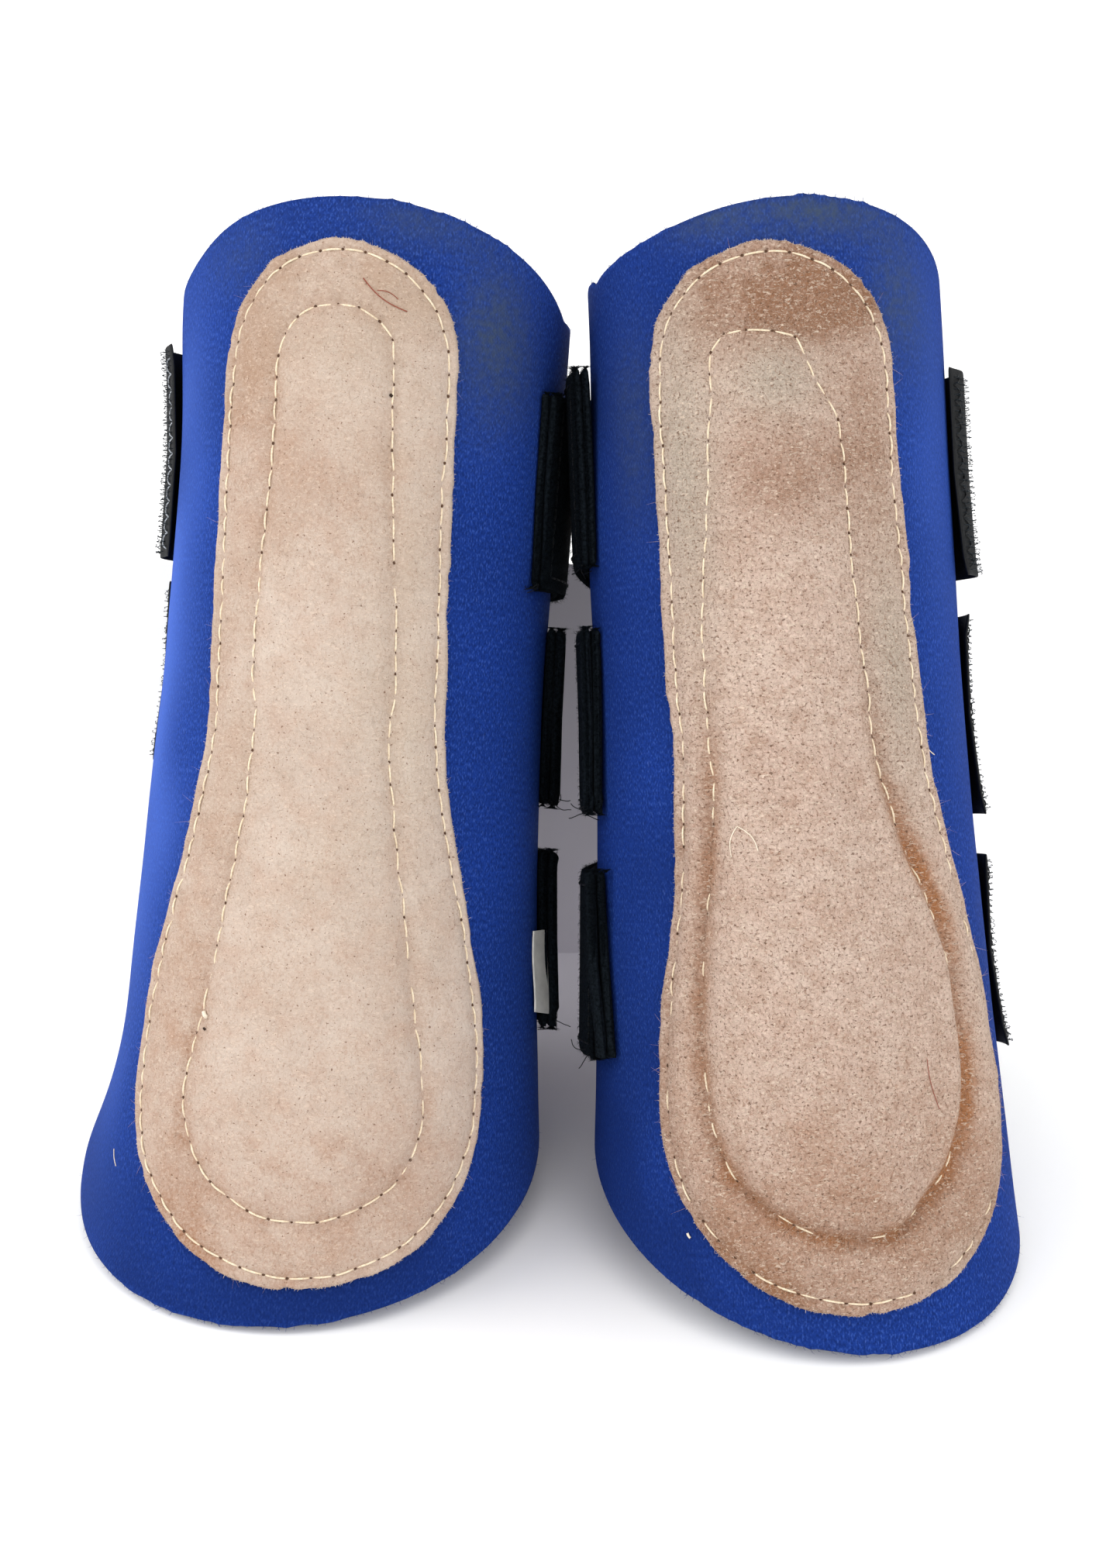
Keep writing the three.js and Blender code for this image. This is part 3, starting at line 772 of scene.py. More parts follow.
def make_stitches(guard, inset, part):
    """One row of lockstitches: each thread rises from a needle hole and dives into the next."""
    ends = row_ends(guard, inset)
    draw = np.random.default_rng(91 + int(inset))
    ends = ends + draw.normal(0, 0.22, ends.shape)
    follow = np.roll(ends, -1, axis=0)
    first, last = 0.08, 0.92
    t = np.linspace(first, last, 13)
    flat = mix(ends[:, None], follow[:, None], t[None, :, None])
    z = flat[..., 1]
    angle, out = row_face(guard, flat, inset)
    arch = 0.66 * np.maximum(np.sin(np.pi * (t - first) / (last - first)), 0) ** 0.6 - 0.44
    sink = draw.uniform(-0.1, 0.14, (len(ends), 1))
    # Some stitches have sunk into the nap, most of them low on the rougher pad.
    lost = mix(0.02, 0.4 * smooth((150 - ends[:, 1]) / 60), float(guard.side < 0))
    sink = sink - STITCH_SINK * (draw.uniform(0, 1, len(ends)) < lost)[:, None]
    paths = guard.wrap(angle, z, out + arch + sink)
    swell = THREAD_RADIUS * (0.72 + 0.28 * np.sin(np.pi * t) ** 0.5) * (1 + 0.09 * np.sin(t * 40))
    sides = 8
    points, faces = tubes(paths, guard.normal(angle, z), swell, sides)
    build = Build(guard)
    build.add(points, faces, 0, np.repeat(flat.reshape(-1, 2), sides, axis=0))
    # Painted shade in the needle holes: a dark pit a little under the suede's face at each hole.
    angle, out = row_face(guard, ends, inset)
    centre = guard.wrap(angle, ends[:, 1], out - 0.22)
    up = guard.normal(angle, ends[:, 1])
    path = np.stack([centre + up * step for step in (-0.2, 0.0, 0.12)], axis=1)
    sideways = np.cross(up, [0.0, 0.0, 1.0])[:, None]
    points, faces = tubes(path, sideways, np.array([0.3, 0.42, 0.26]), sides)
    build.add(points, faces, 1)
    row = build.make(f"{guard.name}_{part}", [THREAD, NEEDLE_HOLE_SHADE])
    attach(row, guard.body)
    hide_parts(f"{guard.name}_{part}")


# ------------------------------------------------------------------ tapes
def rounded_band(guard, angles, heights, lift, thickness, corner=0.0, bead=0.0, drift=0.0, slant=0.0):
    """A tape round the tube: faces, rounded edges and ends, as one closed loop of rings.
    lift gives the underside's distance from the shell at an angle and height, bead the extra
    thickness of the turned edge that the tape starts with, slant that edge's turn, and drift
    how far the tape is raised at each angle."""
    sides = 48
    turn = np.linspace(0, 2 * np.pi, sides, endpoint=False)
    half_high = (heights[1] - heights[0]) / 2
    middle = (heights[0] + heights[1]) / 2
    wide = np.sign(np.cos(turn)) * np.abs(np.cos(turn)) ** 0.12
    deep = np.sign(np.sin(turn)) * np.abs(np.sin(turn)) ** 0.45
    across = wide * (half_high - 0.15)
    run = np.concatenate([[0], np.cumsum(np.abs(np.diff(angles)))]) * guard.half_width(middle)
    from_end = run[-1] - run
    edge = (thickness + bead * bump(run, 1.3, 1.5)) / 2
    shrink = np.ones(len(angles))
    if corner > 0:
        near = np.clip(from_end / corner, 0, 1)
        shrink = 1 - (1 - np.sqrt(np.maximum(0, 1 - (1 - near) ** 2))) * corner / half_high
    lip = np.sqrt(np.clip(np.minimum(run, from_end) / edge, 0.02, 1))
    z = middle + across[None] * shrink[:, None] + np.broadcast_to(drift, len(angles))[:, None]
    lumps = bead * 0.5 * value_noise(run[:, None] / 1.6, z / 1.7, 73) * np.exp(-run / 5)[:, None]
    half = edge[:, None] + deep[None] * (edge * lip)[:, None]
    outs = lift(angles[:, None], z) + half + np.maximum(lumps, -0.2)
    turned = angles[:, None] + slant * (z - middle) / half_high * bump(run, 0, 9)[:, None]
    points = guard.wrap(turned * guard.side, z, outs)
    flat = np.stack(np.broadcast_arrays(run[:, None], across[None]), axis=-1)
    ring = np.arange(sides)[None]
    caps = [ring[:, ::-1], ring + (len(angles) - 1) * sides]
    return points.reshape(-1, 3), [ring_faces(len(angles), sides)] + caps, flat.reshape(-1, 2)


def end_steps(start, end, edge, count):
    """Angles from start to end, close together at both ends, where the tape's edge is round."""
    tip = edge * np.array([0, 0.03, 0.12, 0.3, 0.55, 0.8])
    return np.concatenate([start + tip, np.linspace(start + edge, end - edge, count), (end - tip)[::-1]])


def sewn_rise(guard, level, angles):
    """Height that a strap gains between its place at the back and its sewn end."""
    rise = SEWN_ENDS[guard.name][level][2]
    return rise * (1 - smooth((angles - guard.base_from[level] - 0.3) / 0.9))


def strap_start(guard, level):
    """Angle at which a strap's sewn end begins."""
    begin = SEWN_ENDS[guard.name][level][1]
    return guard.base_from[level] + begin / guard.half_width(sum(STRAP_HEIGHTS[level]) / 2)


def tape_seed(guard, level):
    return 200 + 10 * list(STRAP_HEIGHTS).index(level) + (5 if guard.side < 0 else 0)


def face_fibres(build, guard, angles, heights, outs, brush, seed, rise):
    """A brushed nap on the outer face of a tape, and along its edges."""
    count, length, radius = brush
    draw = np.random.default_rng(seed)
    at = draw.uniform(0, 1, count)
    z = draw.uniform(heights[0] + 0.3, heights[1] - 0.3, count)
    rim = draw.uniform(0, 1, count) < 0.3
    z = np.where(rim, np.where(draw.uniform(0, 1, count) < 0.5, heights[0] + 0.1, heights[1] - 0.1), z)
    steps = np.linspace(0, 1, len(angles))
    angle, out, raised = (np.interp(at, steps, each) for each in (angles, outs, rise))
    roots = guard.wrap(angle * guard.side, z + raised, out - np.where(rim, 0.7, 0.05))
    ups = guard.normal(angle * guard.side, z)
    along = np.where(z > (heights[0] + heights[1]) / 2, 1.0, -1.0)[:, None] * np.array([0, 0, 1.0])
    ups = np.where(rim[:, None], along, ups)
    points, faces = fibres(roots, ups, length, radius, 1.5, seed=seed + 1)
    build.add(points, faces, 0)


def strap_out(angles):
    """Underside of the strap: on its sewn end first, then over the rear gap and the hook patch."""
    return mix(SEWN_LIFT, STRAP_LIFT, smooth((angles - BASE_TO) / 0.2))


def sewn_tape(build, guard, level, angles, lift, thickness, bead, waver, corner=0.0):
    """One layer of strap tape, its front edge buckled. Gives back how far it is raised."""
    heights = STRAP_HEIGHTS[level]
    seed = tape_seed(guard, level)
    size, rate, step = waver
    drift = size * value_noise(angles * rate, np.full(len(angles), seed), seed + step)
    drift = drift + sewn_rise(guard, level, angles)
    slant = np.radians(SEWN_ENDS[guard.name][level][0])

    def sag(at, z):
        buckle = 0.35 * value_noise(z / 7, z * 0, seed + 6) + 0.2 * value_noise(z / 2.4, z * 0, seed + 7)
        return buckle * np.exp(-(at - strap_start(guard, level)) / 0.09)

    points, faces, flat = rounded_band(guard, angles, heights, lambda at, z: lift(at, z, sag),
                                       thickness, corner, bead, drift, slant)
    build.add(points, faces, 0, flat)
    return drift


def make_sewn_end(guard, level):
    """The folded-under layer of a strap's sewn end."""
    build = Build(guard)
    heights = STRAP_HEIGHTS[level]
    angles = end_steps(strap_start(guard, level) - np.radians(0.5), BASE_TO, TAPE_TIP, 30)
    drift = sewn_tape(build, guard, level, angles, lambda at, z, sag: 0.25 + 0.5 * sag(at, z + 11),
                      FOLD_THICKNESS, 0.75 * EDGE_BEAD[level], (0.25, 9, 0))
    front = slice(0, 9)
    face_fibres(build, guard, angles[front], heights, np.full(9, 2.0), FOLD_BRUSH,
                tape_seed(guard, level), drift[front])
    piece = build.make(f"{guard.name}_sewn_end_{level}", [LOOP_TAPE])
    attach(piece, guard.body)
    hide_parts(f"{guard.name}_strap_base_{level}")


def make_strap(guard, level):
    """The strap itself, from its sewn end over the rear gap to the hook patch."""
    build = Build(guard)
    heights = STRAP_HEIGHTS[level]
    seed = tape_seed(guard, level)
    angles = end_steps(strap_start(guard, level), STRAP_TO, TAPE_TIP, 120)
    drift = sewn_tape(build, guard, level, angles, lambda at, z, sag: strap_out(at) + sag(at, z),
                      TAPE_THICKNESS, EDGE_BEAD[level], (0.3, 6, 1), corner=5)
    out = strap_out(angles)
    front = slice(0, 9)
    face_fibres(build, guard, angles, heights, out + TAPE_THICKNESS, FACE_BRUSH, seed + 2, drift)
    face_fibres(build, guard, angles[front], heights, out[front] + 2.0, FRONT_BRUSH, seed + 4, drift[front])
    add_tape_stitches(build, guard, level)
    piece = build.make(f"{guard.name}_loop_strap_{level}", [LOOP_TAPE, BLACK_THREAD])
    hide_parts(f"{guard.name}_strap_{level}")
    middle = np.array(sum(heights) / 2)
    ends = [guard.place(guard.wrap(np.array(at * guard.side), middle, BEND_LIFT).reshape(1, 3))[0]
            for at in (HINGE_ANGLE - BEND_HALF_ANGLE, HINGE_ANGLE + BEND_HALF_ANGLE)]
    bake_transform(piece)


def sew(build, guard, holes, reach, thread_at, radius, slot):
    """A stitch between each two holes on a tape. reach is the part of the way that shows, and
    thread_at gives the thread's height and distance out there."""
    t = np.linspace(*reach, 7)
    flat = mix(holes[:-1, None], holes[1:, None], t[None, :, None])
    z, out = thread_at(flat[..., 0], flat[..., 1], t)
    angles = flat[..., 0] * guard.side
    points, faces = tubes(guard.wrap(angles, z, out), guard.normal(angles, z), radius, 6)
    build.add(points, faces, slot)


def add_tape_stitches(build, guard, level):
    """Black lockstitching round the strap's sewn end."""
    heights = STRAP_HEIGHTS[level]
    radius = guard.half_width(sum(heights) / 2)
    low, high = heights[0] + TAPE_STITCH_INSET, heights[1] - TAPE_STITCH_INSET
    start = strap_start(guard, level) + (TAPE_STITCH_INSET + 0.5) / radius
    stop = BASE_TO - TAPE_STITCH_INSET / radius
    corners = np.array([[start, low], [stop, low], [stop, high], [start, high], [start, low]])
    line = [corners[:1]]
    for a, b in zip(corners[:-1], corners[1:]):
        length = np.hypot((b[0] - a[0]) * radius, b[1] - a[1])
        number = max(2, int(round(length / TAPE_STITCH_PITCH)))
        line.append(mix(a, b, np.linspace(0, 1, number + 1)[1:, None]))

    def thread_at(angles, z, t):
        return z + sewn_rise(guard, level, angles), strap_out(angles) + 1.62 + 0.28 * np.sin(np.pi * t)

    sew(build, guard, np.concatenate(line), (0.08, 0.92), thread_at, TAPE_THREAD_RADIUS, 1)


def hook_lift(angles, z, guard, level):
    """The stiff hook tape bulges off the shell behind its front edge, where it also springs
    away a little, its corners more than its middle."""
    end, heights, bulge, spring, curl_low, curl_high = HOOK_TAPES[guard.name][level]
    front = smooth((angles - np.radians(end)) / np.radians(26) + 1) ** 1.4
    up = (z - heights[0]) / (heights[1] - heights[0])
    curl = curl_low * np.clip(1 - up, 0, 1) ** 5 + curl_high * np.clip(up, 0, 1) ** 5
    wave = 0.25 * value_noise(z / 9 + end, z * 0, 77)
    proud = bulge * bump(angles, np.radians(end - 12), np.radians(8))
    return 0.3 + proud + (spring + curl + wave) * front + shell_relief(guard, angles * guard.side, z)


def make_hook_patch(guard, level):
    front, heights = HOOK_TAPES[guard.name][level][:2]
    build = Build(guard)
    end = np.radians(front)
    angles = end_steps(HOOK_FROM, end, 0.35 / 44, 44)
    points, faces, flat = rounded_band(guard, angles, heights,
                                       lambda at, z: hook_lift(at, z, guard, level), HOOK_TAPE_THICKNESS)
    build.add(points, faces, 0, flat)
    radius = guard.half_width(sum(heights) / 2)
    columns = np.arange(HOOK_FROM + 1.2 / radius, end - 0.5 / radius, HOOK_PITCH[0] / radius)
    rows = np.arange(heights[0] + 1.4, heights[1] - 1.2, HOOK_PITCH[1])
    angle, z = (grid.ravel() for grid in np.meshgrid(columns, rows))
    draw = np.random.default_rng(tape_seed(guard, level) + 100)
    keep = draw.uniform(0, 1, len(angle)) < HOOK_SHARE
    angle, z = angle[keep], z[keep]
    angle = angle + draw.normal(0, 0.15, len(angle)) / radius
    z = z + draw.normal(0, 0.12, len(z))
    root = guard.wrap(angle * guard.side, z, hook_lift(angle, z, guard, level) + 0.75)
    up = guard.normal(angle * guard.side, z)
    along = np.cross(up, [0.0, 0.0, 1.0])
    lean = np.where(draw.uniform(0, 1, len(angle)) < 0.5, 1.0, -1.0)[:, None]
    curl = along * lean * 0.9 + np.array([0, 0, 1.0]) * draw.normal(0, 0.5, (len(angle), 1))
    tall = draw.uniform(0.8, 1.15, (len(angle), 1))
    paths = np.stack([root + up * h * tall + curl * c * tall for h, c in HOOK_SHAPE], axis=1)
    sideways = np.cross(up, curl)[:, None]
    points, faces = tubes(paths, sideways, HOOK_RADIUS, 3)
    build.add(points, faces, 1)
    add_zigzag(build, guard, level)
    thread = GREY_THREAD if (guard.side > 0 and level == "upper") else BLACK_THREAD
    piece = build.make(f"{guard.name}_hook_tape_{level}", [HOOK_TAPE, HOOKS, thread])
    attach(piece, guard.body)
    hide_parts(f"{guard.name}_hook_patch_{level}")


def add_zigzag(build, guard, level):
    """Zigzag sewing along the hook tape's front and rear edges."""
    front, heights = HOOK_TAPES[guard.name][level][:2]
    radius = guard.half_width(sum(heights) / 2)

    def thread_at(angles, z, t):
        arch = 0.5 * np.maximum(np.sin(np.pi * t), 0) ** 0.6
        return z, hook_lift(angles, z, guard, level) + HOOK_TAPE_THICKNESS + arch

    for edge, inward in ((np.radians(front), -1), (HOOK_FROM, 1)):
        z = np.arange(heights[0] + 2, heights[1] - 2, ZIGZAG_PITCH)
        swing = np.where(np.arange(len(z)) % 2 == 0, *ZIGZAG_SWING)
        holes = np.column_stack([edge + inward * swing / radius, z])
        sew(build, guard, holes, (0, 1), thread_at, ZIGZAG_RADIUS, 2)


# ------------------------------------------------------------------ small pieces
def make_label(guard):
    """A blank woven label, caught in the seam and curling a little off the shell."""
    build = Build(guard)
    rows, cols = 30, 14
    s, t = np.meshgrid(np.linspace(0, 1, cols), np.linspace(0, 1, rows))
    angle = mix(LABEL_SPAN[0], LABEL_SPAN[1] + np.radians(5), s)
    z = mix(LABEL_HEIGHTS[0], LABEL_HEIGHTS[1], t) - 1.2 * s * (1 - t)
    lift = 0.5 + 3.0 * s**1.6 * (0.65 + 0.35 * (1 - t)) + 0.25 * np.sin(t * 5 + 1)
    flat = np.stack([s * 6, t * 17], axis=-1)
    front = guard.wrap(angle * guard.side, z, lift + 0.3).reshape(-1, 3)
    back = guard.wrap(angle * guard.side, z, lift).reshape(-1, 3)
    rim = border(rows, cols)
    build.add(front, [grid_faces(rows, cols)], 0, flat)
    build.add(back, [grid_faces(rows, cols)[:, ::-1]], 0, flat)
    build.add(np.concatenate([front[rim], back[rim]]), [ring_faces(2, len(rim))[:, ::-1]], 0,
              np.tile(flat.reshape(-1, 2)[rim], (2, 1)))
    label = build.make(f"{guard.name}_blank_label", [LABEL])
    weld(label)
    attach(label, guard.body)
    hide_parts(f"{guard.name}_care_label")


def make_thread_ends(guard):
    """Loose ends of black thread that hang from the sewn strap ends."""
    build = Build(guard)
    draw = np.random.default_rng(401 if guard.side > 0 else 402)
    for level, above in (("middle", 1), ("lower", 2), ("upper", 1), ("middle", 3)):
        height = STRAP_HEIGHTS[level][0] + SEWN_ENDS[guard.name][level][2] + above
        for _ in range(3):
            angle = (guard.base_from[level] + np.radians(draw.uniform(1, 8))) * guard.side
            start = guard.wrap(np.array(angle), np.array(float(height)), 3.2)
            up = guard.normal(np.array(angle), np.array(float(height)))
            heading = up * 0.5 + np.array([0, 0, -1.0]) + draw.normal(0, 0.35, 3)
            turn = draw.normal(0, 0.45, 3)
            path = [start]
            for _ in range(14):
                heading = heading / np.linalg.norm(heading)
                path.append(path[-1] + heading * 0.42)
                heading = heading + turn * 0.4 + draw.normal(0, 0.16, 3)
            points, faces = tubes(np.array(path)[None], np.array([0.3, 0.2, 0.93]), 0.11, 5)
            build.add(points, faces, 0)
    ends = build.make(f"{guard.name}_thread_ends", [BLACK_THREAD])
    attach(ends, guard.body)


def make_loose_bits(guard):
    """Stray hairs, lint and specks lying on the pad and beside it."""
    kinds = ("hair", "speck", "lint")
    build = Build(guard)
    t = np.linspace(0, 1, 13)
    for kind, start, end, bow, radius in LOOSE_BITS[guard.name]:
        run = np.subtract(end, start)
        sideways = np.array([run[1], -run[0]]) / np.hypot(*run)
        line = mix(np.array(start), np.array(end), t[:, None]) + bow * np.sin(np.pi * t)[:, None] * sideways
        across, z = line.T
        angle = guard.pad_angle(across, z)
        inset = rung_insets(line)
        on_pad = pad_relief(guard, across, z, np.maximum(inset, 0)) + PAD_GAP + SUEDE_THICKNESS
        out = np.where(inset > 0, on_pad, 0) + shell_relief(guard, angle, z) + radius
        path = guard.wrap(angle, z, out)
        points, faces = tubes(path[None], guard.normal(angle, z)[None], radius, 6)
        build.add(points, faces, kinds.index(kind))
    bits = build.make(f"{guard.name}_loose_hairs", [HAIR, SPECK, LINT])
    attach(bits, guard.body)


# ------------------------------------------------------------------ materials
class Nodes:
    """A node tree, with short calls for adding nodes to it."""

    def __init__(self, tree):
        self.tree = tree

    def put(self, socket, value):
        if isinstance(value, bpy.types.NodeSocket):
            self.tree.links.new(value, socket)
        elif isinstance(value, tuple) and len(value) == 3 and socket.type == "RGBA":
            socket.default_value = (*value, 1)
        else:
            socket.default_value = value

    def node(self, kind, output=0, **inputs):
        """Adds a node, with a value or another node's output for each input named."""
        node = self.tree.nodes.new("ShaderNode" + kind)
        for name, value in inputs.items():
            self.put(node.inputs[name.replace("_", " ")], value)
        return node.outputs[output]

    def attribute(self, name):
        vector = self.node("Attribute", "Vector")
        vector.node.attribute_name = name
        return vector

    def split(self, vector):
        return self.node("SeparateXYZ", Vector=vector).node.outputs

    def place(self):
        return self.node("TexCoord", "Object")

    def stretch(self, vector, scale, rotation=(0, 0, 0)):
        return self.node("Mapping", Vector=vector, Scale=scale, Rotation=rotation)

    def noise(self, vector, scale, detail=3.0, roughness=0.55, distortion=0.0):
        return self.node("TexNoise", "Fac", Vector=vector, Scale=scale, Detail=detail,
                         Roughness=roughness, Distortion=distortion)

    def math(self, operation, a, b=0.0, clamp=False):
        node = self.node("Math").node
        node.operation = operation
        node.use_clamp = clamp
        self.put(node.inputs[0], a)
        self.put(node.inputs[1], b)
        return node.outputs[0]

    def times(self, a, b, clamp=False):
        return self.math("MULTIPLY", a, b, clamp)

    def ripple(self, value, pitch):
        return self.math("SINE", self.times(value, 2 * np.pi / pitch))

    def remap(self, value, low, high, to_low=0.0, to_high=1.0):
        return self.node("MapRange", Value=value, From_Min=low, From_Max=high, To_Min=to_low, To_Max=to_high)

    def mixed(self, kind, first, output, amount, a, b):
        """A mix node of one kind, whose inputs for a and b are first and the one after it."""
        node = self.node("Mix").node
        node.data_type = kind
        for index, value in ((0, amount), (first, a), (first + 1, b)):
            self.put(node.inputs[index], value)
        return node.outputs[output]

    def blend(self, amount, a, b):
        return self.mixed("RGBA", 6, 2, amount, a, b)


class Shader(Nodes):
    """A material of cloth, thread or card."""

    def __init__(self, name, roughness, sheen=0.0, gloss=0.25):
        self.material = bpy.data.materials.new(name)
        self.material.use_nodes = True
        super().__init__(self.material.node_tree)
        self.bsdf = self.tree.nodes["Principled BSDF"]
        finish = {"Roughness": roughness, "Specular IOR Level": gloss, "Sheen Weight": sheen,
                  "Sheen Roughness": 0.5}
        for key, value in finish.items():
            self.bsdf.inputs[key].default_value = value

    def relief(self, height, distance, strength=1.0, under=None):
        normal = self.node("Bump", Height=height, Distance=distance, Strength=strength)
        if under is not None:
            self.put(normal.node.inputs["Normal"], under)
        return normal

    def finish(self, colour, normal=None):
        self.put(self.bsdf.inputs["Base Color"], colour)
        if normal is not None:
            self.put(self.bsdf.inputs["Normal"], normal)
        return self.material


def linear(red, green, blue):
    """A colour given as it looks on screen, 0 to 255, turned into light."""
    share = np.array([red, green, blue]) / 255
    light = np.where(share <= 0.04045, share / 12.92, ((share + 0.055) / 1.055) ** 2.4)
    return tuple(float(v) for v in light)


WALE_PITCH = 0.0009
COURSE_PITCH = 0.0010


def jersey(name, base, dark, stained):
    """Fine knitted nylon: rows of small loops, mottled, rubbed grey where it is worn, darker with painted
    shade and lighter with painted light where the point attribute says.
    """
    shader = Shader(name, 0.85, 0.03, 0.06)
    shader.bsdf.inputs["Sheen Tint"].default_value = (*linear(90, 140, 250), 1)
    cloth = shader.attribute("cloth")
    flat = shader.split(cloth)
    drift = shader.times(shader.noise(cloth, 300, 2), WALE_PITCH)
    wales = shader.ripple(shader.math("ADD", flat[0], drift), WALE_PITCH)
    rows = shader.ripple(shader.math("ADD", flat[1], drift), COURSE_PITCH)
    loops = shader.times(wales, rows)
    wobble = shader.noise(shader.stretch(cloth, (1, 1.6, 1)), 900, 3, 0.7)
    mottle = shader.noise(cloth, 260, 4, 0.65)
    broad = shader.noise(cloth, 22, 3, 0.5)
    colour = shader.blend(shader.remap(broad, 0.3, 0.7), dark, base)
    colour = shader.blend(shader.remap(mottle, 0.42, 0.72, 0, 0.35), colour, dark)
    colour = shader.blend(shader.remap(wobble, 0.40, 0.62, 0, 0.45), colour, darker(dark))
    strokes = shader.noise(shader.stretch(cloth, (1, 0.42, 1)), 2300, 2, 0.5)
    woven = shader.math("ADD", strokes, shader.times(loops, 0.05))
    colour = shader.blend(shader.remap(woven, 0.54, 0.68, 0, 0.42), colour, linear(66, 100, 184))
    colour = shader.blend(shader.remap(woven, 0.46, 0.34, 0, 0.6), colour, darker(dark))
    lint = shader.remap(shader.noise(shader.stretch(cloth, (1, 0.35, 1)), 1300, 2, 0.5), 0.67, 0.75, 0, 0.25)
    colour = shader.blend(lint, colour, linear(92, 120, 196))
    worn = shader.split(shader.attribute("wear_and_shading"))
    # Painted shade: darker navy where the attribute's second channel is set.
    colour = shader.blend(shader.times(worn[1], 0.7), colour, darker(dark))
    # Painted light: lighter blue where the attribute's third channel is set.
    colour = shader.blend(worn[2], colour, linear(84, 118, 214))
    cloud = shader.remap(shader.noise(cloth, 420, 4, 0.7), 0.35, 0.6, 0.5, 1.2)
    patch = shader.times(worn[0], cloud, True)
    colour = shader.blend(patch, colour, stained)
    height = shader.math("ADD", shader.times(loops, 0.2), shader.times(strokes, 1.6))
    return shader.finish(colour, shader.relief(height, 0.00012, 0.9))


def darker(colour):
    return tuple(0.45 * part for part in colour)


BROWN_DIRT_AND_SHADE = linear(146, 100, 68)
GREY_DIRT_AND_SHADE = linear(188, 176, 160)
ORANGE_DIRT = linear(178, 114, 62)


def suede(name, base, light, coarse):
    """Napped split hide: mottled, with fine fibres, dark specks and dirt in the grooves.
    coarse, from 0 to 1, is how far the nap has balled up into grains."""
    shader = Shader(name, 0.95, 0.15, 0.15)
    shader.bsdf.inputs["Sheen Tint"].default_value = (*linear(255, 235, 215), 1)
    cloth = shader.attribute("cloth")
    broad = shader.noise(cloth, 45, 4, 0.6)
    patches = shader.noise(cloth, mix(140, 230, coarse), 4, 0.65)
    grain = shader.noise(shader.stretch(cloth, (1, 0.65, 1), (0, 0, 0.5)), 1700, 4, 0.75, 0.8)
    fibre = shader.noise(shader.stretch(cloth, (0.5, 1, 1), (0, 0, -0.7)), 1900, 3, 0.7, 1.2)
    colour = shader.blend(shader.remap(broad, 0.32, 0.68), base, light)
    blotches = shader.remap(patches, 0.45, 0.72, 0, mix(0.4, 0.65, coarse))
    colour = shader.blend(blotches, colour, linear(184, 148, 126))
    dirt_and_shading = shader.split(shader.attribute("wear_and_shading"))
    rough = shader.remap(grain, 0.35, 0.62, 0.6, 1.15)
    # Brown, grey and orange dirt; the brown and grey near the left pad's top are partly painted shade.
    for amount, shade in zip(dirt_and_shading, (BROWN_DIRT_AND_SHADE, GREY_DIRT_AND_SHADE, ORANGE_DIRT)):
        colour = shader.blend(shader.times(amount, rough, True), colour, shade)
    strong = mix(0.3, 0.75, coarse)
    colour = shader.blend(shader.remap(grain, 0.50, 0.64, 0, strong), colour, linear(150, 112, 90))
    colour = shader.blend(shader.remap(fibre, 0.54, 0.64, 0, strong), colour, linear(232, 212, 192))
    spots = shader.noise(cloth, 1500, 2, 0.5)
    dots = shader.remap(spots, mix(0.66, 0.61, coarse), mix(0.71, 0.67, coarse), 0, 0.8)
    colour = shader.blend(dots, colour, linear(112, 80, 60))
    height = shader.math("ADD", grain, shader.times(fibre, 0.7))
    under = shader.relief(patches, 0.0004, 0.5)
    return shader.finish(colour, shader.relief(height, mix(0.00025, 0.0008, coarse), 1.0, under))


def plain_cloth(name, base, other, scale, distance, roughness, sheen=0.0, gloss=0.25):
    """A mottled fibrous finish for threads, tapes and foam."""
    shader = Shader(name, roughness, sheen, gloss)
    where = shader.place()
    grain = shader.noise(where, scale, 4, 0.7)
    colour = shader.blend(shader.remap(grain, 0.35, 0.65), base, other)
    return shader.finish(colour, shader.relief(grain, distance, 0.8))


def label_cloth():
    """White woven tape: fine warp and weft, slightly soiled."""
    shader = Shader("woven label", 0.6, 0.1)
    cloth = shader.attribute("cloth")
    flat = shader.split(cloth)
    weave = shader.times(shader.ripple(flat[0], 0.0005), shader.ripple(flat[1], 0.0004))
    soil = shader.noise(cloth, 200, 3)
    colour = shader.blend(shader.remap(soil, 0.4, 0.7), linear(236, 234, 228), linear(205, 203, 198))
    return shader.finish(colour, shader.relief(weave, 0.00004, 0.6))


JERSEY = jersey("knitted jersey", linear(27, 60, 146), linear(23, 51, 124), linear(60, 72, 88))
LINING = jersey("lining jersey", linear(28, 56, 140), linear(24, 48, 120), linear(46, 56, 68))
FOAM_EDGE = plain_cloth("cut foam", linear(20, 30, 66), linear(34, 48, 104), 2400, 0.0002, 0.95)
SUEDES = {"left": suede("smooth suede", linear(194, 176, 162), linear(207, 192, 179), 0.0),
          "right": suede("balled suede", linear(215, 186, 169), linear(228, 204, 188), 1.0)}
SUEDE_EDGE = plain_cloth("suede edge", linear(206, 188, 168), linear(232, 220, 204), 1800, 0.0002, 0.95, 0.3)
THREAD = plain_cloth("cream thread", linear(242, 228, 202), linear(216, 194, 162), 1500, 0.0001, 0.7, 0.2)
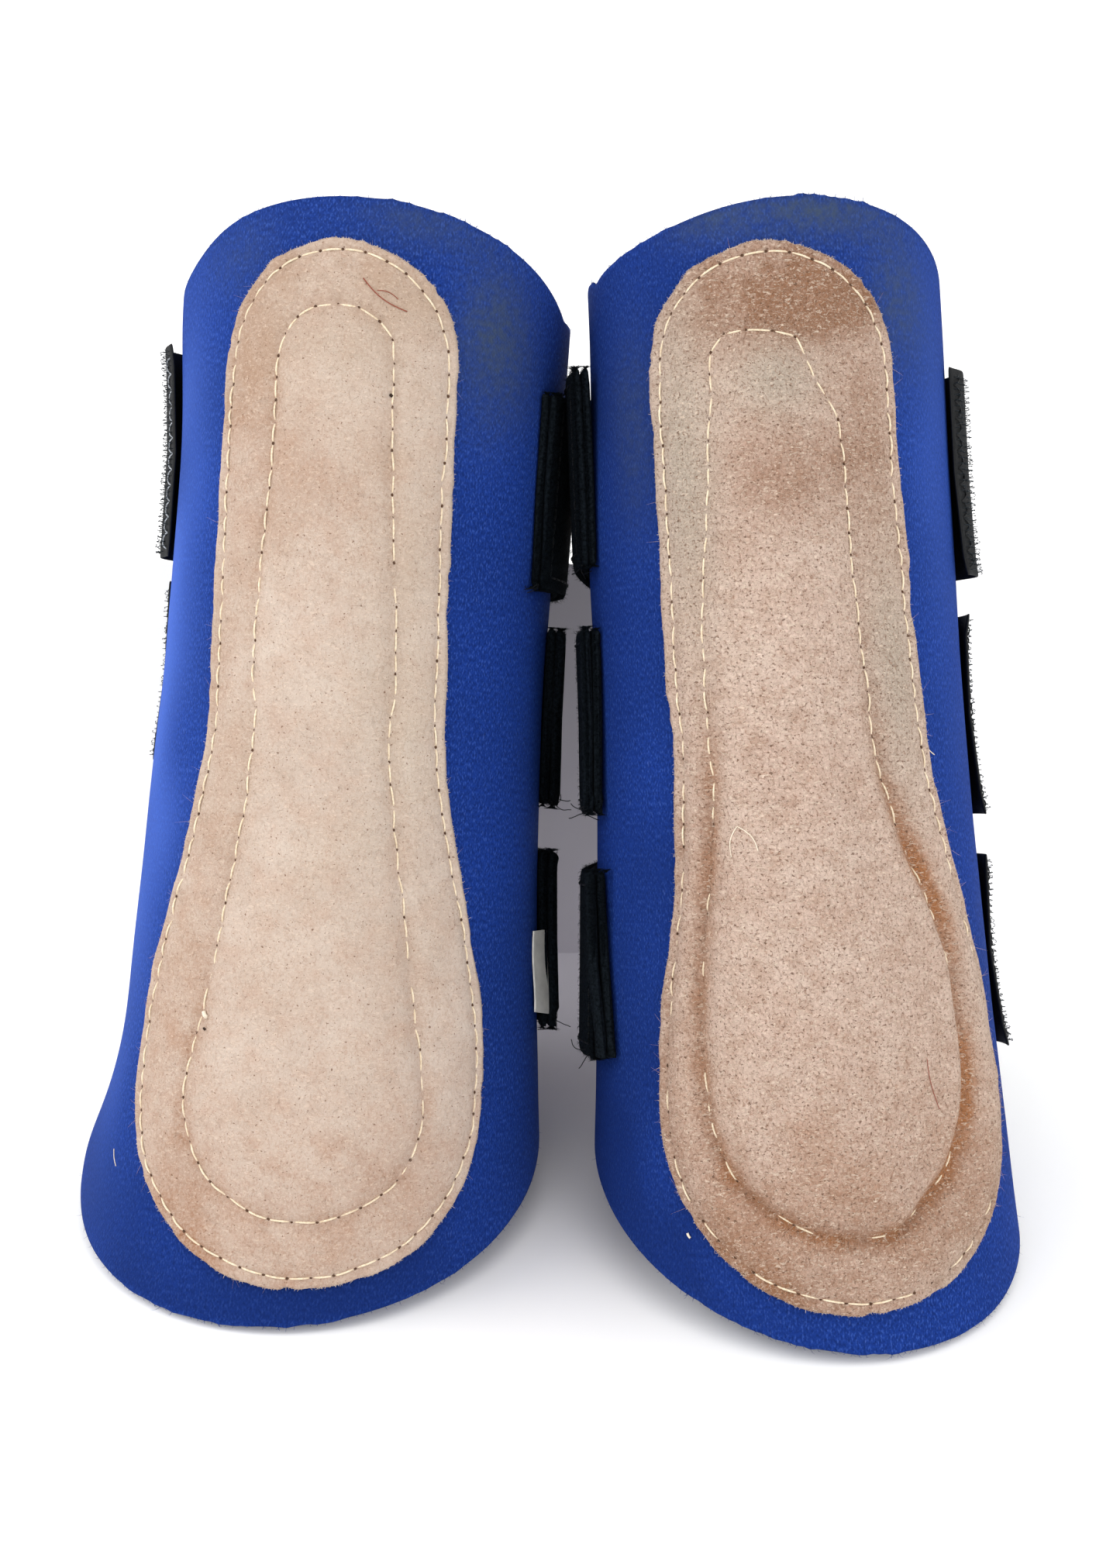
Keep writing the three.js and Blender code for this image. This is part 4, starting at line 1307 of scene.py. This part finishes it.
# Painted shade: the dark inside the needle holes.
NEEDLE_HOLE_SHADE = plain_cloth("needle hole", linear(70, 50, 38), linear(96, 70, 52), 3000, 0.0001, 1.0)
LOOP_TAPE = plain_cloth("loop tape", linear(3, 6, 8), linear(24, 30, 36), 1500, 0.0007, 1.0, gloss=0.05)
HOOK_TAPE = plain_cloth("hook tape", linear(5, 7, 9), linear(16, 18, 21), 1300, 0.0002, 0.7)
HOOKS = plain_cloth("hooks", linear(20, 28, 34), linear(44, 54, 62), 4000, 0.00005, 0.4)
BLACK_THREAD = plain_cloth("black thread", linear(3, 5, 7), linear(14, 17, 20), 4000, 0.0001, 0.6)
GREY_THREAD = plain_cloth("grey thread", linear(196, 200, 206), linear(120, 126, 134), 2500, 0.0001, 0.6)
HAIR = plain_cloth("red-brown hair", linear(128, 62, 46), linear(160, 92, 72), 2500, 0.00005, 0.5)
SPECK = plain_cloth("dark speck", linear(40, 28, 22), linear(60, 44, 34), 2500, 0.00005, 0.9)
LINT = plain_cloth("cream lint", linear(240, 230, 212), linear(222, 206, 184), 2500, 0.00005, 0.8)
LABEL = label_cloth()


# ------------------------------------------------------------------ stage, lights and camera
VIEW_DISTANCE = 0.534
VIEW_HEIGHT = 0.3638              # height of what the picture takes in at the guards
VIEW_ELEVATION = np.radians(23)
VIEW_AIM = Vector((0.0039, -0.0077, 0.0979))
WALL_HEIGHT = 0.118
CARD_WHITE = linear(253, 253, 253)
CARD_SHADE = linear(196, 192, 200)  # between the guards, where little light gets in
SKY_FRONT = 1.15
SKY_BACK = 0.45
# Each lamp: where it hangs, its size and its power.
LAMPS = {"window": ((-1.1, -0.1, 0.7), (0.8, 0.9), 7),
         "room": ((0.8, -1.1, 0.6), (0.9, 0.9), 5),
         "top": ((0.0, -0.3, 1.3), (1.0, 0.6), 2)}
FILM_HEIGHT = 36
CARD_REACH = 4                    # half the width of floor and wall


def make_stage():
    """White floor, and a low white wall that the guards lean on. The wall shows only from its
    front, so it hides nothing from a view behind the guards."""
    rear = cad_bounds[1][1] + 0.002
    # Each card: its near and far edge, as (y, z).
    cards = {
        "floor": ((-CARD_REACH, 0), (rear, 0)),
        "floor_behind": ((rear, 0), (CARD_REACH, 0)),
        "wall": ((rear, 0), (rear, WALL_HEIGHT)),
    }
    shader = Shader("white card", 0.7)
    spot = shader.split(shader.place())
    beside = shader.math("ABSOLUTE", shader.math("SUBTRACT", spot[0], 0.003))
    before_wall = shader.remap(spot[1], rear + 0.002, rear + 0.001)
    forward = shader.times(shader.remap(spot[1], -0.10, 0.02), before_wall)
    shade = shader.times(shader.remap(beside, 0.05, 0.015), forward, True)
    shader.finish(shader.blend(shade, CARD_WHITE, CARD_SHADE))
    # The card glows a little beyond the wall's foot and to both sides, as overexposed paper does.
    beyond = shader.remap(spot[1], rear - 0.001, rear + 0.004, 0, 0.35)
    glow = shader.times(beyond, shader.remap(shade, 1, 0))
    glow = shader.math("ADD", glow, shader.times(shader.remap(beside, 0.05, 0.10), 0.09, True))
    shader.bsdf.inputs["Emission Color"].default_value = (1, 1, 1, 1)
    shader.put(shader.bsdf.inputs["Emission Strength"], glow)
    # The wall is clear from behind.
    choose = shader.node("MixShader").node
    parts = (shader.node("NewGeometry", "Backfacing"), shader.bsdf.outputs[0], shader.node("BsdfTransparent"))
    for socket, part in zip(choose.inputs, parts):
        shader.put(socket, part)
    shader.put(shader.tree.nodes["Material Output"].inputs["Surface"], choose.outputs[0])
    for name, (near, far) in cards.items():
        corners = [(-CARD_REACH, *near), (CARD_REACH, *near), (CARD_REACH, *far), (-CARD_REACH, *far)]
        mesh = bpy.data.meshes.new(name)
        mesh.from_pydata(corners, [], [(0, 1, 2, 3)])
        mesh.materials.append(shader.material)
        card = bpy.data.objects.new(name, mesh)
        bpy.context.scene.collection.objects.link(card)


def area_light(name, place, size, power):
    light = bpy.data.lights.new(name, "AREA")
    light.shape = "RECTANGLE"
    light.size, light.size_y = size
    light.energy = power
    lamp = bpy.data.objects.new(name, light)
    bpy.context.scene.collection.objects.link(lamp)
    lamp.location = place
    lamp.rotation_euler = (VIEW_AIM - Vector(place)).to_track_quat("-Z", "Y").to_euler()


def make_light():
    world = bpy.data.worlds.new("studio")
    world.use_nodes = True
    nodes = Nodes(world.node_tree)
    sky = nodes.tree.nodes["Background"]
    sky.inputs["Color"].default_value = (1, 1, 1, 1)
    # It shines more from the front than from behind, and the camera sees it plain white.
    heading = nodes.split(nodes.node("TexCoord", "Generated"))
    front = nodes.remap(heading[1], -0.3, 0.5, SKY_FRONT, SKY_BACK)
    seen = nodes.node("LightPath", "Is Camera Ray")
    nodes.put(sky.inputs["Strength"], nodes.mixed("FLOAT", 2, 0, seen, front, 1.0))
    bpy.context.scene.world = world
    for name, (place, size, power) in LAMPS.items():
        area_light(name, place, size, power)


def make_camera():
    camera = bpy.data.cameras.new("camera")
    camera.sensor_fit = "VERTICAL"
    camera.sensor_height = FILM_HEIGHT
    camera.lens = FILM_HEIGHT * VIEW_DISTANCE / VIEW_HEIGHT
    camera.clip_start = 0.01
    eye = bpy.data.objects.new("camera", camera)
    bpy.context.scene.collection.objects.link(eye)
    back = Vector((0, -np.cos(VIEW_ELEVATION), np.sin(VIEW_ELEVATION)))
    eye.location = VIEW_AIM + back * VIEW_DISTANCE
    eye.rotation_euler = (-back).to_track_quat("-Z", "Y").to_euler()
    bpy.context.scene.camera = eye


bpy.context.scene.view_settings.view_transform = "Standard"
make_camera()
make_light()
make_stage()
for guard in GUARDS:
    make_shell(guard)
    make_pad(guard)
    make_stitches(guard, OUTER_ROW_INSET, "outer_stitch_row")
    make_stitches(guard, INNER_ROW_INSET, "inner_stitch_row")
    for level in STRAP_HEIGHTS:
        make_sewn_end(guard, level)
        make_strap(guard, level)
        make_hook_patch(guard, level)
    make_thread_ends(guard)
    make_loose_bits(guard)
make_label(GUARDS[0])
